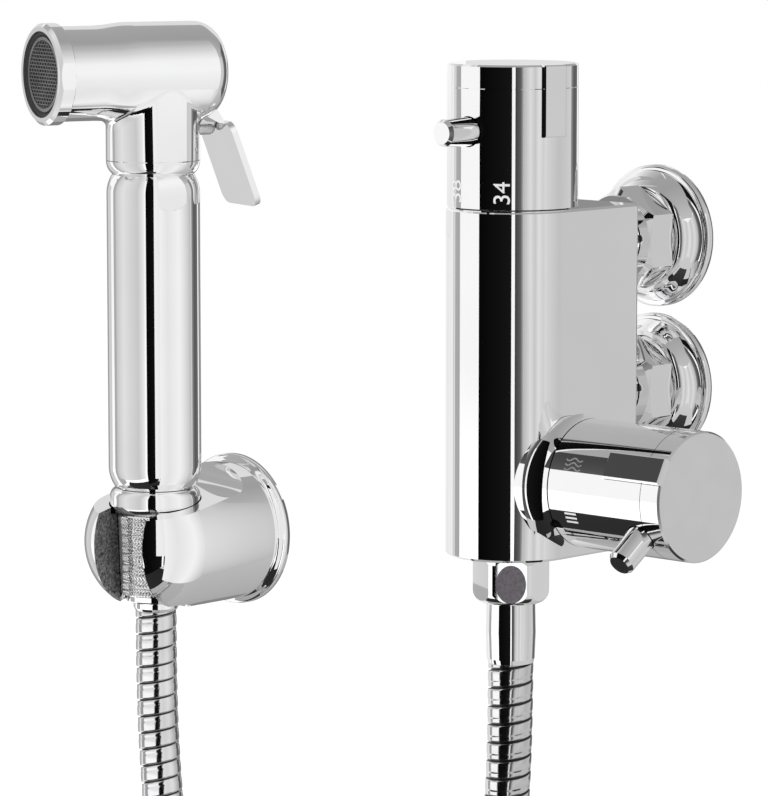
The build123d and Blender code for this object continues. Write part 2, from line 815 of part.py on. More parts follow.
# Flow cartridge: a flanged body in the boss, with a chamber for the two ceramic discs
flow_cartridge_radius = flow_bore / 2 - still_gap
with BuildPart() as flow_cartridge:
    turned(
        flow_side,
        (disc_radius - 3, flow_bore_floor + 0.2),
        (flow_cartridge_radius, flow_bore_floor + 0.2),
        (flow_cartridge_radius, boss_face - flow_flange),
        (flow_flange_radius, boss_face - flow_flange),
        (flow_flange_radius, boss_face),
        (flow_neck_radius, boss_face),
        (flow_neck_radius, flow_neck_end),
        (flow_spindle_radius + pin_gap, flow_neck_end),
        (flow_spindle_radius + pin_gap, disc_chamber_end),
        (disc_chamber_radius, disc_chamber_end),
        (disc_chamber_radius, disc_seat),
        (disc_radius - 3, disc_seat),
    )
    with Locations(Plane((disc_seat + disc_thickness / 2, flow_y, flow_z), z_dir=(0, 0, -1))):
        Cylinder(2.2, flow_bore, align=(Align.CENTER, Align.CENTER, Align.MIN), mode=Mode.SUBTRACT)
flow_cartridge.part.label = "flow_cartridge"
export_step(flow_cartridge.part, "parts/flow_cartridge.step")

# Ceramic discs: the fixed one on the chamber's seat, the moving one driven by the spindle
disc_face = disc_seat + disc_thickness
for disc_name, disc_foot in (("fixed", disc_seat), ("moving", disc_face + 0.05)):
    with BuildPart() as ceramic_disc:
        with BuildSketch(Plane((disc_foot, flow_y, flow_z), z_dir=(1, 0, 0))) as disc_outline:
            Circle(disc_radius)
            with PolarLocations(disc_radius / 2, 2):
                SlotCenterToCenter(3, 4.2, rotation=90, mode=Mode.SUBTRACT)
        extrude(disc_outline.sketch, amount=disc_thickness)
    ceramic_disc.part.label = f"ceramic_disc_{disc_name}"
    export_step(ceramic_disc.part, f"parts/ceramic_disc_{disc_name}.step")

# Flow spindle: turns the moving disc and carries the flow knob
with BuildPart() as flow_spindle:
    drive_foot = disc_face + 0.05 + disc_thickness
    flow_spindle_end = flow_start + hub_end - 0.5
    turned(
        flow_side,
        (0, drive_foot),
        (disc_radius - 2, drive_foot),
        (disc_radius - 2, disc_chamber_end - running_gap),
        (flow_spindle_radius, disc_chamber_end - running_gap),
        (flow_spindle_radius, flow_spindle_end),
        (knob_screw_radius, flow_spindle_end),
        (knob_screw_radius, flow_spindle_end - knob_screw_length),
        (0, flow_spindle_end - knob_screw_length),
    )
flow_spindle.part.label = "flow_spindle"
export_step(flow_spindle.part, "parts/flow_spindle.step")

# Outlet nipple in the body's foot
nipple_end = body_foot - outlet_length
with BuildPart() as outlet_nipple:
    turned(
        valve_side,
        (outlet_bore / 2, body_foot + outlet_screwed),
        (bush_thread / 2, body_foot + outlet_screwed),
        (bush_thread / 2, body_foot),
        (outlet_thread / 2, body_foot),
        (outlet_thread / 2, nipple_end + 0.8),
        (outlet_thread / 2 - 0.8, nipple_end),
        (outlet_bore / 2, nipple_end),
    )
outlet_nipple.part.label = "outlet_nipple"
export_step(outlet_nipple.part, "parts/outlet_nipple.step")

# Hose nut under the valve: a hexagon with a rounded foot, one flat towards the corner of the room
hose_nut_top = body_foot - seam
hose_nut_foot = hose_nut_top - hose_nut_height
ferrule_top = nipple_end - hose_washer
with BuildPart() as hose_nut:
    with BuildSketch(Plane((0, axis_y, hose_nut_foot), x_dir=(cos(radians(-18)), sin(radians(-18)), 0), z_dir=(0, 0, 1))):
        RegularPolygon(hose_nut_across_flats / 2, 6, major_radius=False)
    extrude(amount=hose_nut_height)
    with BuildSketch(valve_side):
        with BuildLine():
            top_in = (hose_nut_envelope - 1.1, hose_nut_top)
            foot_out = (hose_nut_envelope, hose_nut_foot + hose_nut_round)
            foot_in = (hose_nut_envelope - 3.2, hose_nut_foot)
            Line((0, hose_nut_foot), foot_in)
            TangentArc(foot_out, foot_in, tangent=(0, -1))
            Line(foot_out, (hose_nut_envelope, hose_nut_top - 2))
            Line((hose_nut_envelope, hose_nut_top - 2), top_in)
            Line(top_in, (0, hose_nut_top))
            Line((0, hose_nut_top), (0, hose_nut_foot))
        make_face()
    revolve(axis=Axis(valve_side.origin, valve_side.y_dir), mode=Mode.INTERSECT)
    rod(valve_side, outlet_thread / 2 + still_gap, ferrule_top - ferrule_flange - running_gap, hose_nut_top + 1, Mode.SUBTRACT)
    rod(valve_side, ferrule_neck_radius + running_gap, hose_nut_foot - 1, hose_nut_top, Mode.SUBTRACT)
hose_nut.part.label = "hose_nut_valve"
export_step(hose_nut.part, "parts/hose_nut_valve.step")

# Washers at the two ends of the hose
with BuildPart() as hose_washer_valve:
    tube(valve_side, outlet_thread / 2 - 1, outlet_bore / 2, ferrule_top, nipple_end)
hose_washer_valve.part.label = "hose_washer_valve"
export_step(hose_washer_valve.part, "parts/hose_washer_valve.step")

# Ferrule at the valve end of the hose, swaged smooth round it
hose_top = valve_route[0][2]
with BuildPart() as hose_ferrule_valve:
    turned(
        valve_side,
        (hose_bore / 2, hose_top),
        (hose_radius, hose_top),
        (ferrule_radius - 0.3, hose_top + 1.5),
        (ferrule_radius, hose_top + ferrule_length * 0.5),
        (ferrule_neck_radius, hose_top + ferrule_length),
        (ferrule_neck_radius, ferrule_top - ferrule_flange),
        (ferrule_flange_radius, ferrule_top - ferrule_flange),
        (ferrule_flange_radius, ferrule_top),
        (hose_bore / 2, ferrule_top),
    )
hose_ferrule_valve.part.label = "hose_ferrule_valve"
export_step(hose_ferrule_valve.part, "parts/hose_ferrule_valve.step")


# Hose: routes, corner radii and the ribbed stretches
def corner_radii(points):
    """The radius of each corner of a route, from its shorter run and its turn."""
    radii = []
    for before, corner, after in zip(points, points[1:], points[2:]):
        run_in = Vector(corner) - Vector(before)
        run_out = Vector(after) - Vector(corner)
        half_turn = radians(run_in.get_angle(run_out)) / 2
        radii.append(0.45 * min(run_in.length, run_out.length) / tan(half_turn))
    return radii


def split_point(route):
    """The point on a route's third run where its ribbed stretch ends."""
    start, end = Vector(route[2]), Vector(route[3])
    return start + (end - start) * split_share


def ribbed_hose(path):
    """Ribs as a ruled loft through four circles each, round the path, with the bore cut through."""
    length = path.length
    rib_count = int((length - 1) // rib_pitch)
    pitch = length / rib_count
    crest = hose_radius
    groove = hose_radius - rib_depth
    steps = [(0.06, groove), (0.2, crest), (0.8, crest), (0.94, groove)]
    places = [(0.0, groove)]
    for rib in range(rib_count):
        places += [((rib + share) * pitch, radius) for share, radius in steps]
    places.append((length, groove))
    sections = Sketch()
    for place, radius in places:
        at = place / length
        section_plane = Plane(path @ at, x_dir=(1, 0, 0), z_dir=path % at)
        with BuildSketch(section_plane) as circle:
            Circle(radius)
        sections += circle.sketch.face()
    return sections


routes = {"hose_valve_drop": valve_route, "hose_handset_drop": handset_route}
route_radii = {name: corner_radii(route) for name, route in routes.items()}
hose_length = 0.0
for stretch_name, route in routes.items():
    radii = route_radii[stretch_name]
    print(stretch_name, "corner radii", [round(radius, 1) for radius in radii])
    with BuildPart() as hose_stretch:
        with BuildLine() as stretch_line:
            FilletPolyline(*route[:3], split_point(route), radius=radii[:2])
        stretch_path = stretch_line.wire()
        circles = ribbed_hose(stretch_path)
        loft(sections=circles.faces(), ruled=True)
        with BuildSketch(Plane(stretch_path @ 0, x_dir=(1, 0, 0), z_dir=stretch_path % 0)) as bore:
            Circle(hose_bore / 2)
        sweep(bore.sketch, path=stretch_path, mode=Mode.SUBTRACT)
    hose_length += stretch_path.length
    hose_stretch.part.label = stretch_name
    export_step(hose_stretch.part, f"parts/{stretch_name}.step")

# Hose loop: a turn and a half, each half turn an arc in its own upright plane
loop_height = valve_route[-1][2]
loop_y = valve_route[-1][1]
right_x = valve_route[-1][0]
left_x = handset_route[-1][0]
turn_points = []
for half_turn in range(4):
    end_x = right_x if half_turn % 2 == 0 else left_x
    turn_points.append(Vector(end_x, loop_y + half_turn * loop_shift, loop_height))
with BuildPart() as hose_loop:
    with BuildLine() as loop_line:
        FilletPolyline(split_point(valve_route), *valve_route[3:], radius=route_radii["hose_valve_drop"][2:])
        for half_turn in range(3):
            start = turn_points[half_turn]
            end = turn_points[half_turn + 1]
            middle = (start + end) / 2
            reach = (end - start).length / 2
            crown = middle + Vector(0, 0, reach if half_turn == 1 else -reach)
            ThreePointArc(start, crown, end)
        FilletPolyline(
            *reversed(handset_route[3:]), split_point(handset_route),
            radius=route_radii["hose_handset_drop"][:1:-1],
        )
    loop_path = loop_line.wire()
    with BuildSketch(Plane(loop_path @ 0, x_dir=(1, 0, 0), z_dir=loop_path % 0)):
        Circle(hose_radius - rib_depth / 2)
        Circle(hose_bore / 2, mode=Mode.SUBTRACT)
    sweep(path=loop_path)
hose_length += loop_path.length
hose_loop.part.label = "hose_loop"
export_step(hose_loop.part, "parts/hose_loop.step")

# The loop's least gap to itself, measured on points a few millimetres apart
point_count = int(loop_path.length / 4)
loop_points = [loop_path @ (step / point_count) for step in range(point_count + 1)]
far_enough = int(3 * hose_diameter / 4)
least = min(
    (loop_points[i] - loop_points[j]).length
    for i in range(len(loop_points))
    for j in range(i + far_enough, len(loop_points))
)
print("hose length", round(hose_length, 1), "least gap of the loop to itself", round(least - hose_diameter, 2))
ring_area = pi * ((hose_radius - rib_depth / 2) ** 2 - (hose_bore / 2) ** 2)
print("loop volume", round(hose_loop.part.volume), "section times length", round(ring_area * loop_path.length))

# Ties: two bands that hold neighbouring turns together at the sides of the loop
with BuildPart() as hose_ties:
    for tie_x, first in ((right_x, 0), (left_x, 1)):
        tie_y = (turn_points[first].Y + turn_points[first + 2].Y) / 2
        with BuildSketch(Plane((tie_x, tie_y, loop_height - tie_height / 2))) as band:
            SlotCenterToCenter(2 * loop_shift, hose_diameter + 2 * (tie_gap + tie_thickness), rotation=90)
            SlotCenterToCenter(2 * loop_shift, hose_diameter + 2 * tie_gap, rotation=90, mode=Mode.SUBTRACT)
        extrude(band.sketch, amount=tie_height)
hose_ties.part.label = "hose_ties"
export_step(hose_ties.part, "parts/hose_ties.step")

# Cutter for the holder's mouth: a sloping floor with a rounded rise at its back
mouth_low = Vector(sin(radians(mouth_turn)), -cos(radians(mouth_turn)), 0)
mouth_normal = mouth_low * sin(radians(mouth_tilt)) + Vector(0, 0, cos(radians(mouth_tilt)))
mouth = Plane((handset_x, handset_y, collar_foot + mouth_height), x_dir=(1, 0, 0), z_dir=mouth_normal)
with BuildPart() as mouth_cutter:
    with BuildSketch(mouth):
        Rectangle(6 * socket_radius, 6 * socket_radius)
    extrude(amount=3 * socket_radius)
    with Locations((handset_x, -mouth_back, collar_foot)):
        block = (Align.CENTER, Align.MAX, Align.CENTER)
        Box(3 * socket_radius, 3 * socket_radius, 3 * socket_radius, align=block, mode=Mode.INTERSECT)
    rise_foot = mouth_cutter.faces().sort_by(Axis.Y)[-1].edges().sort_by(Axis.Z)[0]
    fillet(rise_foot, mouth_round)

# Holder body: a round-ended socket on a fat stem, with a tapered bore, a slot and a sloping mouth
with BuildPart() as holder_body:
    with BuildSketch(holder_side):
        with BuildLine():
            stem_back = (holder_body_radius, holder_step)
            stem_edge = (holder_body_radius + 0.6, holder_step + 1.5)
            stem_front = (socket_radius, handset_to_wall)
            tip = (0, handset_to_wall + socket_radius)
            Line((0, holder_step), stem_back)
            Line(stem_back, stem_edge)
            Line(stem_edge, stem_front)
            RadiusArc(stem_front, tip, -socket_radius)
            Line(tip, (0, holder_step))
        make_face()
    revolve(axis=Axis(holder_side.origin, holder_side.y_dir))
    add(mouth_cutter.part, mode=Mode.SUBTRACT)
    cone_slope = (cone_top_radius - cone_foot_radius) / cone_length
    bore_top = cone_top_radius + cone_gap
    turned(
        handset_side,
        (0, -2 * socket_radius),
        (bore_top - cone_slope * 2 * socket_radius, -2 * socket_radius),
        (bore_top, -0.3),
        (collar_radius + socket_gap, -0.3),
        (collar_radius + socket_gap, socket_radius),
        (0, socket_radius),
        mode=Mode.SUBTRACT,
    )
    slot_base = Plane((handset_x, handset_y, collar_foot)).rotated((0, 0, slot_turn - 90))
    with Locations(slot_base):
        slot_side = (Align.MIN, Align.CENTER, Align.CENTER)
        Box(2 * socket_radius, slot_width, 4 * socket_radius, align=slot_side, mode=Mode.SUBTRACT)
    rod(holder_side, backplate_radius + running_gap, 0, backplate_thickness + running_gap, Mode.SUBTRACT)
    with Locations((handset_x, -grub_to_wall, holder_z)):
        below = (Align.CENTER, Align.CENTER, Align.MAX)
        Cylinder(grub_radius + still_gap, 2 * socket_radius, align=below, mode=Mode.SUBTRACT)
holder_body.part.label = "holder_body"
export_step(holder_body.part, "parts/holder_body.step")

# Ring between the holder and the wall, with a stepped rim
with BuildPart() as holder_ring:
    turned(
        holder_side,
        (backplate_radius + running_gap, 0),
        (holder_ring_radius, 0),
        (holder_ring_radius, holder_step - holder_ring_edge - 0.4),
        (holder_ring_radius - 0.4, holder_step - holder_ring_edge),
        (holder_ring_radius - 1.2, holder_step - holder_ring_edge),
        (holder_ring_radius - 1.2, holder_step - 0.1),
        (backplate_radius + running_gap, holder_step - 0.1),
    )
holder_ring.part.label = "holder_ring"
export_step(holder_ring.part, "parts/holder_ring.step")

# Backplate and the screws that hold it to the wall
screw_heights = (screw_spacing / 2, -screw_spacing / 2)
head_seat = backplate_thickness - screw_head_height
with BuildPart() as holder_backplate:
    rod(holder_side, backplate_radius, 0, backplate_thickness)
    rod(holder_side, backplate_hollow / 2, 2, backplate_thickness + 1, Mode.SUBTRACT)
    for screw_height in screw_heights:
        with Locations(Plane((handset_x, -backplate_thickness, holder_z + screw_height), z_dir=front)):
            CounterBoreHole(
                screw_radius + still_gap,
                screw_head_radius + still_gap,
                screw_head_height,
                depth=backplate_thickness,
            )
holder_backplate.part.label = "holder_backplate"
export_step(holder_backplate.part, "parts/holder_backplate.step")

with BuildPart() as holder_screws:
    for screw_height in screw_heights:
        screw_side = Plane((handset_x, 0, holder_z + screw_height), x_dir=(1, 0, 0), z_dir=(0, 0, -1))
        turned(
            screw_side,
            (0, head_seat - screw_length),
            (screw_radius, head_seat - screw_length + 3),
            (screw_radius, -still_gap),
            (screw_shank_radius, -still_gap),
            (screw_shank_radius, head_seat),
            (screw_head_radius, head_seat),
            (screw_head_radius, backplate_thickness - 1),
            (screw_head_radius - 0.8, backplate_thickness - 0.1),
            (0, backplate_thickness - 0.1),
        )
        with Locations((handset_x, -backplate_thickness, holder_z + screw_height)):
            Box(5.2, 2.4, 0.9, mode=Mode.SUBTRACT)
            Box(0.9, 2.4, 5.2, mode=Mode.SUBTRACT)
holder_screws.part.label = "holder_screws"
export_step(holder_screws.part, "parts/holder_screws.step")

# Grub screw from below, which clamps the holder to its backplate
with BuildPart() as holder_grub_screw:
    grub_top = holder_z - backplate_radius - still_gap
    grub_foot = holder_z - holder_body_radius + 0.6
    with Locations((handset_x, -grub_to_wall, grub_foot)):
        Cylinder(grub_radius, grub_top - grub_foot, align=(Align.CENTER, Align.CENTER, Align.MIN))
    with BuildSketch(Plane((handset_x, -grub_to_wall, grub_foot))) as grub_recess:
        RegularPolygon(1.1, 6)
    extrude(grub_recess.sketch, amount=1.8, mode=Mode.SUBTRACT)
holder_grub_screw.part.label = "holder_grub_screw"
export_step(holder_grub_screw.part, "parts/holder_grub_screw.step")

# Ferrule at the handset end of the hose
with BuildPart() as hose_ferrule_handset:
    hose_end_washer = -connector_thread_length - washer_thickness
    turned(
        handset_side,
        (hose_bore / 2, -hose_end_drop),
        (hose_radius, -hose_end_drop),
        (hose_end_radius, 1 - hose_end_drop),
        (hose_end_radius, -cone_length - lip_height - 0.6),
        (hose_end_neck, -cone_length - lip_height - 0.6),
        (hose_end_neck, hose_end_washer - 2),
        (ferrule_flange_radius, hose_end_washer - 2),
        (ferrule_flange_radius, hose_end_washer),
        (hose_bore / 2, hose_end_washer),
    )
hose_ferrule_handset.part.label = "hose_ferrule_handset"
export_step(hose_ferrule_handset.part, "parts/hose_ferrule_handset.step")

with BuildPart() as hose_washer_handset:
    tube(handset_side, connector_thread / 2 - 1, connector_bore / 2, hose_end_washer, -connector_thread_length)
hose_washer_handset.part.label = "hose_washer_handset"
export_step(hose_washer_handset.part, "parts/hose_washer_handset.step")

# Cone nut: tapered to seat in the holder, with a lip at its foot
with BuildPart() as cone_nut:
    turned(
        handset_side,
        (hose_end_neck + running_gap, -cone_length - lip_height),
        (lip_radius, -cone_length - lip_height),
        (lip_radius, -cone_length),
        (cone_foot_radius - 0.5, -cone_length),
        (cone_foot_radius, 0.5 - cone_length),
        (cone_top_radius, -0.8),
        (cone_top_radius - 0.5, -0.3),
        (connector_thread / 2 + still_gap, -0.3),
        (connector_thread / 2 + still_gap, hose_end_washer - 2 - running_gap),
        (hose_end_neck + running_gap, hose_end_washer - 2 - running_gap),
    )
cone_nut.part.label = "cone_nut"
export_step(cone_nut.part, "parts/cone_nut.step")

# Bottom connector: the rounded collar, with a thread below and a neck in the grip above
spigot_radius = grip_bore_radius - still_gap
with BuildPart() as bottom_connector:
    with BuildSketch(handset_side):
        with BuildLine():
            collar_low = (collar_radius - 1.6, 0)
            collar_widest = (collar_radius, collar_round)
            collar_shoulder = (collar_radius, collar_height - collar_round)
            collar_top = (waist_radius - 0.4, collar_height)
            Line((0, 0), collar_low)
            TangentArc(collar_widest, collar_low, tangent=(0, -1))
            Line(collar_widest, collar_shoulder)
            TangentArc(collar_shoulder, collar_top, tangent=(0, 1))
            Line(collar_top, (0, collar_height))
            Line((0, collar_height), (0, 0))
        make_face()
    revolve(axis=Axis(handset_side.origin, handset_side.y_dir))
    rod(handset_side, spigot_radius, collar_height, connector_top)
    rod(handset_side, connector_thread / 2, -connector_thread_length, 0)
    rod(handset_side, connector_bore / 2, -connector_thread_length, connector_top, Mode.SUBTRACT)
bottom_connector.part.label = "bottom_connector"
export_step(bottom_connector.part, "parts/bottom_connector.step")

# Grip: a plain tube with rounded ends, which carries the water in its bore
with BuildPart() as grip_tube:
    with BuildSketch(handset_side):
        with BuildLine():
            foot_edge = (waist_radius, grip_start)
            foot_round = (grip_radius, grip_start + grip_round)
            top_round = (grip_radius, grip_end - grip_round)
            top_edge = (waist_radius, grip_end)
            Line((grip_bore_radius, grip_start), foot_edge)
            TangentArc(foot_round, foot_edge, tangent=(0, -1))
            Line(foot_round, top_round)
            TangentArc(top_round, top_edge, tangent=(0, 1))
            Line(top_edge, (grip_bore_radius, grip_end))
            Line((grip_bore_radius, grip_end), (grip_bore_radius, grip_start))
        make_face()
    revolve(axis=Axis(handset_side.origin, handset_side.y_dir))
grip_tube.part.label = "grip_tube"
export_step(grip_tube.part, "parts/grip_tube.step")

# Neck ring between the grip and the head, swelling from the waist
with BuildPart() as neck_ring:
    with BuildSketch(handset_side):
        with BuildLine():
            ring_foot = (waist_radius, grip_end + still_gap)
            ring_round = (neck_radius, grip_end + neck_ring_round)
            ring_top = (neck_radius, neck_ring_end)
            Line((grip_bore_radius, ring_foot[1]), ring_foot)
            TangentArc(ring_round, ring_foot, tangent=(0, -1))
            Line(ring_round, ring_top)
            Line(ring_top, (grip_bore_radius, neck_ring_end))
            Line((grip_bore_radius, neck_ring_end), (grip_bore_radius, ring_foot[1]))
        make_face()
    revolve(axis=Axis(handset_side.origin, handset_side.y_dir))
neck_ring.part.label = "neck_ring"
export_step(neck_ring.part, "parts/neck_ring.step")

# Spray head: a barrel across the top of a round neck, with the trigger's valve inside
bezel_rear = nozzle_reach - bezel_length
head_front = bezel_rear - running_gap
stem_origin = handset.from_local_coords((0, 0, stem_height))
stem_side = Plane(stem_origin, x_dir=(0, 0, 1), z_dir=handset.y_dir)


def on_neck(point):
    """Whether a point lies on the neck's wall, above its foot."""
    local = handset.to_local_coords(point)
    from_axis = (local.X**2 + local.Y**2) ** 0.5
    return abs(from_axis - neck_radius) < 0.02 and local.Z > neck_start + 1


with BuildPart() as spray_head:
    with BuildSketch(barrel_side):
        with BuildLine():
            rear_edge = (head_radius - head_rear_round, -barrel_rear)
            rear_round = (head_radius, head_rear_round - barrel_rear)
            swell_end = (head_radius, head_swell_end)
            slim_start = (barrel_radius, head_slim_start)
            Line((0, -barrel_rear), rear_edge)
            RadiusArc(rear_edge, rear_round, -head_rear_round)
            Line(rear_round, swell_end)
            Spline(swell_end, slim_start, tangents=[(0, 1), (0, 1)])
            Line(slim_start, (barrel_radius, head_front))
            Line((barrel_radius, head_front), (0, head_front))
            Line((0, head_front), (0, -barrel_rear))
        make_face()
    revolve(axis=Axis(barrel_side.origin, barrel_side.y_dir))
    rod(handset_side, neck_radius, neck_start, barrel_height)
    neck_edges = [
        edge
        for edge in spray_head.edges()
        if edge.geom_type == GeomType.BSPLINE and all(on_neck(edge @ share) for share in (0.1, 0.5, 0.9))
    ]
    fillet(neck_edges, radius=neck_blend)
    rod(handset_side, spigot_radius, spigot_foot, neck_start)
    rod(barrel_side, barrel_bore_radius, barrel_bore_rear, nozzle_reach, Mode.SUBTRACT)
    rod(stem_side, chamber_rear_radius, chamber_rear, valve_seat - valve_seat_wall, Mode.SUBTRACT)
    rod(stem_side, valve_seat_bore, chamber_rear, valve_seat, Mode.SUBTRACT)
    rod(stem_side, chamber_radius, valve_seat, chamber_front, Mode.SUBTRACT)
    rod(stem_side, stem_radius + pin_gap, -2 * barrel_rear, chamber_rear, Mode.SUBTRACT)
    rod(handset_side, spigot_radius - 2.5, spigot_foot, spigot_foot + 12, Mode.SUBTRACT)
    with Locations(handset.location * Location((feed_ahead, 0, spigot_foot))):
        upward = (Align.CENTER, Align.CENTER, Align.MIN)
        Cylinder(feed_radius, stem_height - spigot_foot, align=upward, mode=Mode.SUBTRACT)
    with Locations(handset.location * Location((riser_ahead, 0, stem_height))):
        Cylinder(riser_radius, barrel_height - stem_height, align=upward, mode=Mode.SUBTRACT)
    with Locations(handset.location * Location((ear_slot_front, 0, ear_slot_foot))):
        Box(
            barrel_rear,
            ear_width + 2 * running_gap,
            ear_slot_top - ear_slot_foot,
            align=(Align.MAX, Align.CENTER, Align.MIN),
            mode=Mode.SUBTRACT,
        )
    pivot = handset.from_local_coords((pivot_ahead, 0, pivot_height))
    with Locations(Plane(pivot, x_dir=(0, 0, 1), z_dir=handset.y_dir)):
        Cylinder(pin_radius + pin_gap, pin_length, mode=Mode.SUBTRACT)
spray_head.part.label = "spray_head"
export_step(spray_head.part, "parts/spray_head.step")

# Bezel of the nozzle, screwed into the barrel, with two spanner flats
with BuildPart() as head_bezel:
    turned(
        barrel_side,
        (bezel_bore, bezel_rear - bezel_spigot),
        (barrel_bore_radius - still_gap, bezel_rear - bezel_spigot),
        (barrel_bore_radius - still_gap, bezel_rear),
        (bezel_radius - 0.5, bezel_rear),
        (bezel_radius, bezel_rear + 0.5),
        (bezel_radius, nozzle_reach - bezel_edge),
        (bezel_radius - bezel_edge, nozzle_reach),
        (seal_radius + still_gap, nozzle_reach),
        (seal_radius + still_gap, nozzle_reach - bezel_floor),
        (bezel_bore, nozzle_reach - bezel_floor),
    )
    for flat_side in (-1, 1):
        with Locations(handset.location * Location((bezel_rear, flat_side * bezel_flats / 2, barrel_height))):
            flat_from = Align.MIN if flat_side > 0 else Align.MAX
            Box(
                4 * bezel_length,
                bezel_radius,
                4 * bezel_radius,
                align=(Align.CENTER, flat_from, Align.CENTER),
                mode=Mode.SUBTRACT,
            )
head_bezel.part.label = "head_bezel"
export_step(head_bezel.part, "parts/head_bezel.step")

# Spray plate and the ring that seals it
with BuildPart() as spray_plate:
    plate_origin = handset.from_local_coords((nozzle_reach - bezel_floor, 0, barrel_height))
    with BuildSketch(Plane(plate_origin, x_dir=(0, 0, 1), z_dir=handset.x_dir)) as plate_face:
        Circle(plate_radius)
        Circle(spray_hole / 2, mode=Mode.SUBTRACT)
        for ring in range(1, spray_rings + 1):
            with PolarLocations(ring * spray_ring_step, 6 * ring):
                Circle(spray_hole / 2, mode=Mode.SUBTRACT)
    extrude(plate_face.sketch, amount=plate_thickness)
spray_plate.part.label = "spray_plate"
export_step(spray_plate.part, "parts/spray_plate.step")

with BuildPart() as spray_seal:
    seal_foot = nozzle_reach - bezel_floor
    turned(
        barrel_side,
        (plate_radius + still_gap, seal_foot),
        (seal_radius, seal_foot),
        (seal_radius, seal_foot + seal_thickness),
        (plate_radius + 0.8, seal_foot + seal_thickness),
        (plate_radius + still_gap, seal_foot + seal_thickness - 0.7),
    )
spray_seal.part.label = "spray_seal"
export_step(spray_seal.part, "parts/spray_seal.step")

# Trigger lever: a plain plate with an ear on the pivot pin
lever_run = Vector(*lever_foot) - Vector(*lever_top)
lever_along = lever_run.normalized()
lever_inward = Vector(-lever_along.Y, lever_along.X)
with BuildPart() as trigger_lever:
    with BuildSketch(handset_side):
        top_outer = Vector(*lever_top)
        foot_outer = Vector(*lever_foot)
        top_inner = top_outer + lever_inward * lever_thickness
        foot_inner = foot_outer + lever_inward * lever_thickness
        with BuildLine():
            Polyline(top_outer, foot_outer, foot_inner, top_inner, close=True)
        make_face()
    extrude(amount=lever_width / 2, both=True)
    foot_direction = handset_side.from_local_coords(lever_inward) - handset_side.origin
    plate_corners = trigger_lever.edges().filter_by(Axis((0, 0, 0), foot_direction))
    fillet(plate_corners, lever_corner)
    with BuildSketch(handset_side):
        pivot_centre = Vector(pivot_ahead, pivot_height)
        ear_side = Vector(-0.6, 0.8) * ear_radius
        with BuildLine():
            Polyline(top_outer, top_inner, pivot_centre - ear_side, pivot_centre + ear_side, close=True)
        make_face()
        with Locations(pivot_centre):
            Circle(ear_radius)
    extrude(amount=ear_width / 2, both=True)
    with Locations(Plane(pivot, x_dir=(0, 0, 1), z_dir=handset.y_dir)):
        Cylinder(pin_radius + pin_gap, 2 * ear_width, mode=Mode.SUBTRACT)
trigger_lever.part.label = "trigger_lever"
export_step(trigger_lever.part, "parts/trigger_lever.step")

with BuildPart() as trigger_pin:
    with Locations(Plane(pivot, x_dir=(0, 0, 1), z_dir=handset.y_dir)):
        Cylinder(pin_radius, pin_length - still_gap)
trigger_pin.part.label = "trigger_pin"
export_step(trigger_pin.part, "parts/trigger_pin.step")

# Stem of the trigger's valve, with a round end against the lever and a sealing disc
with BuildPart() as valve_stem:
    rod(stem_side, stem_radius, stem_end, valve_seat + 0.05)
    rod(stem_side, stem_disc_radius, valve_seat + 0.05, valve_seat + stem_disc)
    with Locations(stem_side.from_local_coords((0, stem_end, 0))):
        Sphere(stem_radius)
valve_stem.part.label = "valve_stem"
export_step(valve_stem.part, "parts/valve_stem.step")

# Spring of the trigger's valve, shown as a plain sleeve
with BuildPart() as valve_spring:
    tube(stem_side, 4.4, 3.2, valve_seat + stem_disc + stem_travel + running_gap, chamber_front)
valve_spring.part.label = "valve_spring"
export_step(valve_spring.part, "parts/valve_spring.step")
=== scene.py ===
import bmesh
import bpy
import json
import math
from mathutils import Matrix, Vector


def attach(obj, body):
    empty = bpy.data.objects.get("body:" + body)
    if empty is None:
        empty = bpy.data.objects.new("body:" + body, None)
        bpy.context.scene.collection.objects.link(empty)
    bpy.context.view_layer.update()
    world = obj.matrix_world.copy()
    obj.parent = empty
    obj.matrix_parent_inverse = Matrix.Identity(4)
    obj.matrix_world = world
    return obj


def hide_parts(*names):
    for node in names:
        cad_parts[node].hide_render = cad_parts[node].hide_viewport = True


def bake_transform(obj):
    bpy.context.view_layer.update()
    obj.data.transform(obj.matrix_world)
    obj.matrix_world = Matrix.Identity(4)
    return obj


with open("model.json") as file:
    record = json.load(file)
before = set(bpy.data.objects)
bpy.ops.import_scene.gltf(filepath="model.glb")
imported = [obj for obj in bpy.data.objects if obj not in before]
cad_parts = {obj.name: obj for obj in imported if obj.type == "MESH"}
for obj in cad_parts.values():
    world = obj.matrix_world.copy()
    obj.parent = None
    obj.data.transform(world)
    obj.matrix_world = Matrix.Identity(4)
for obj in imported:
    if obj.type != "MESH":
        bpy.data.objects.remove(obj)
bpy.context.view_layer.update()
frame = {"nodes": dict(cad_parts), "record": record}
scene = bpy.context.scene
scene.view_settings.view_transform = "Standard"
mm = 0.001


def rad(degrees):
    return math.radians(degrees)


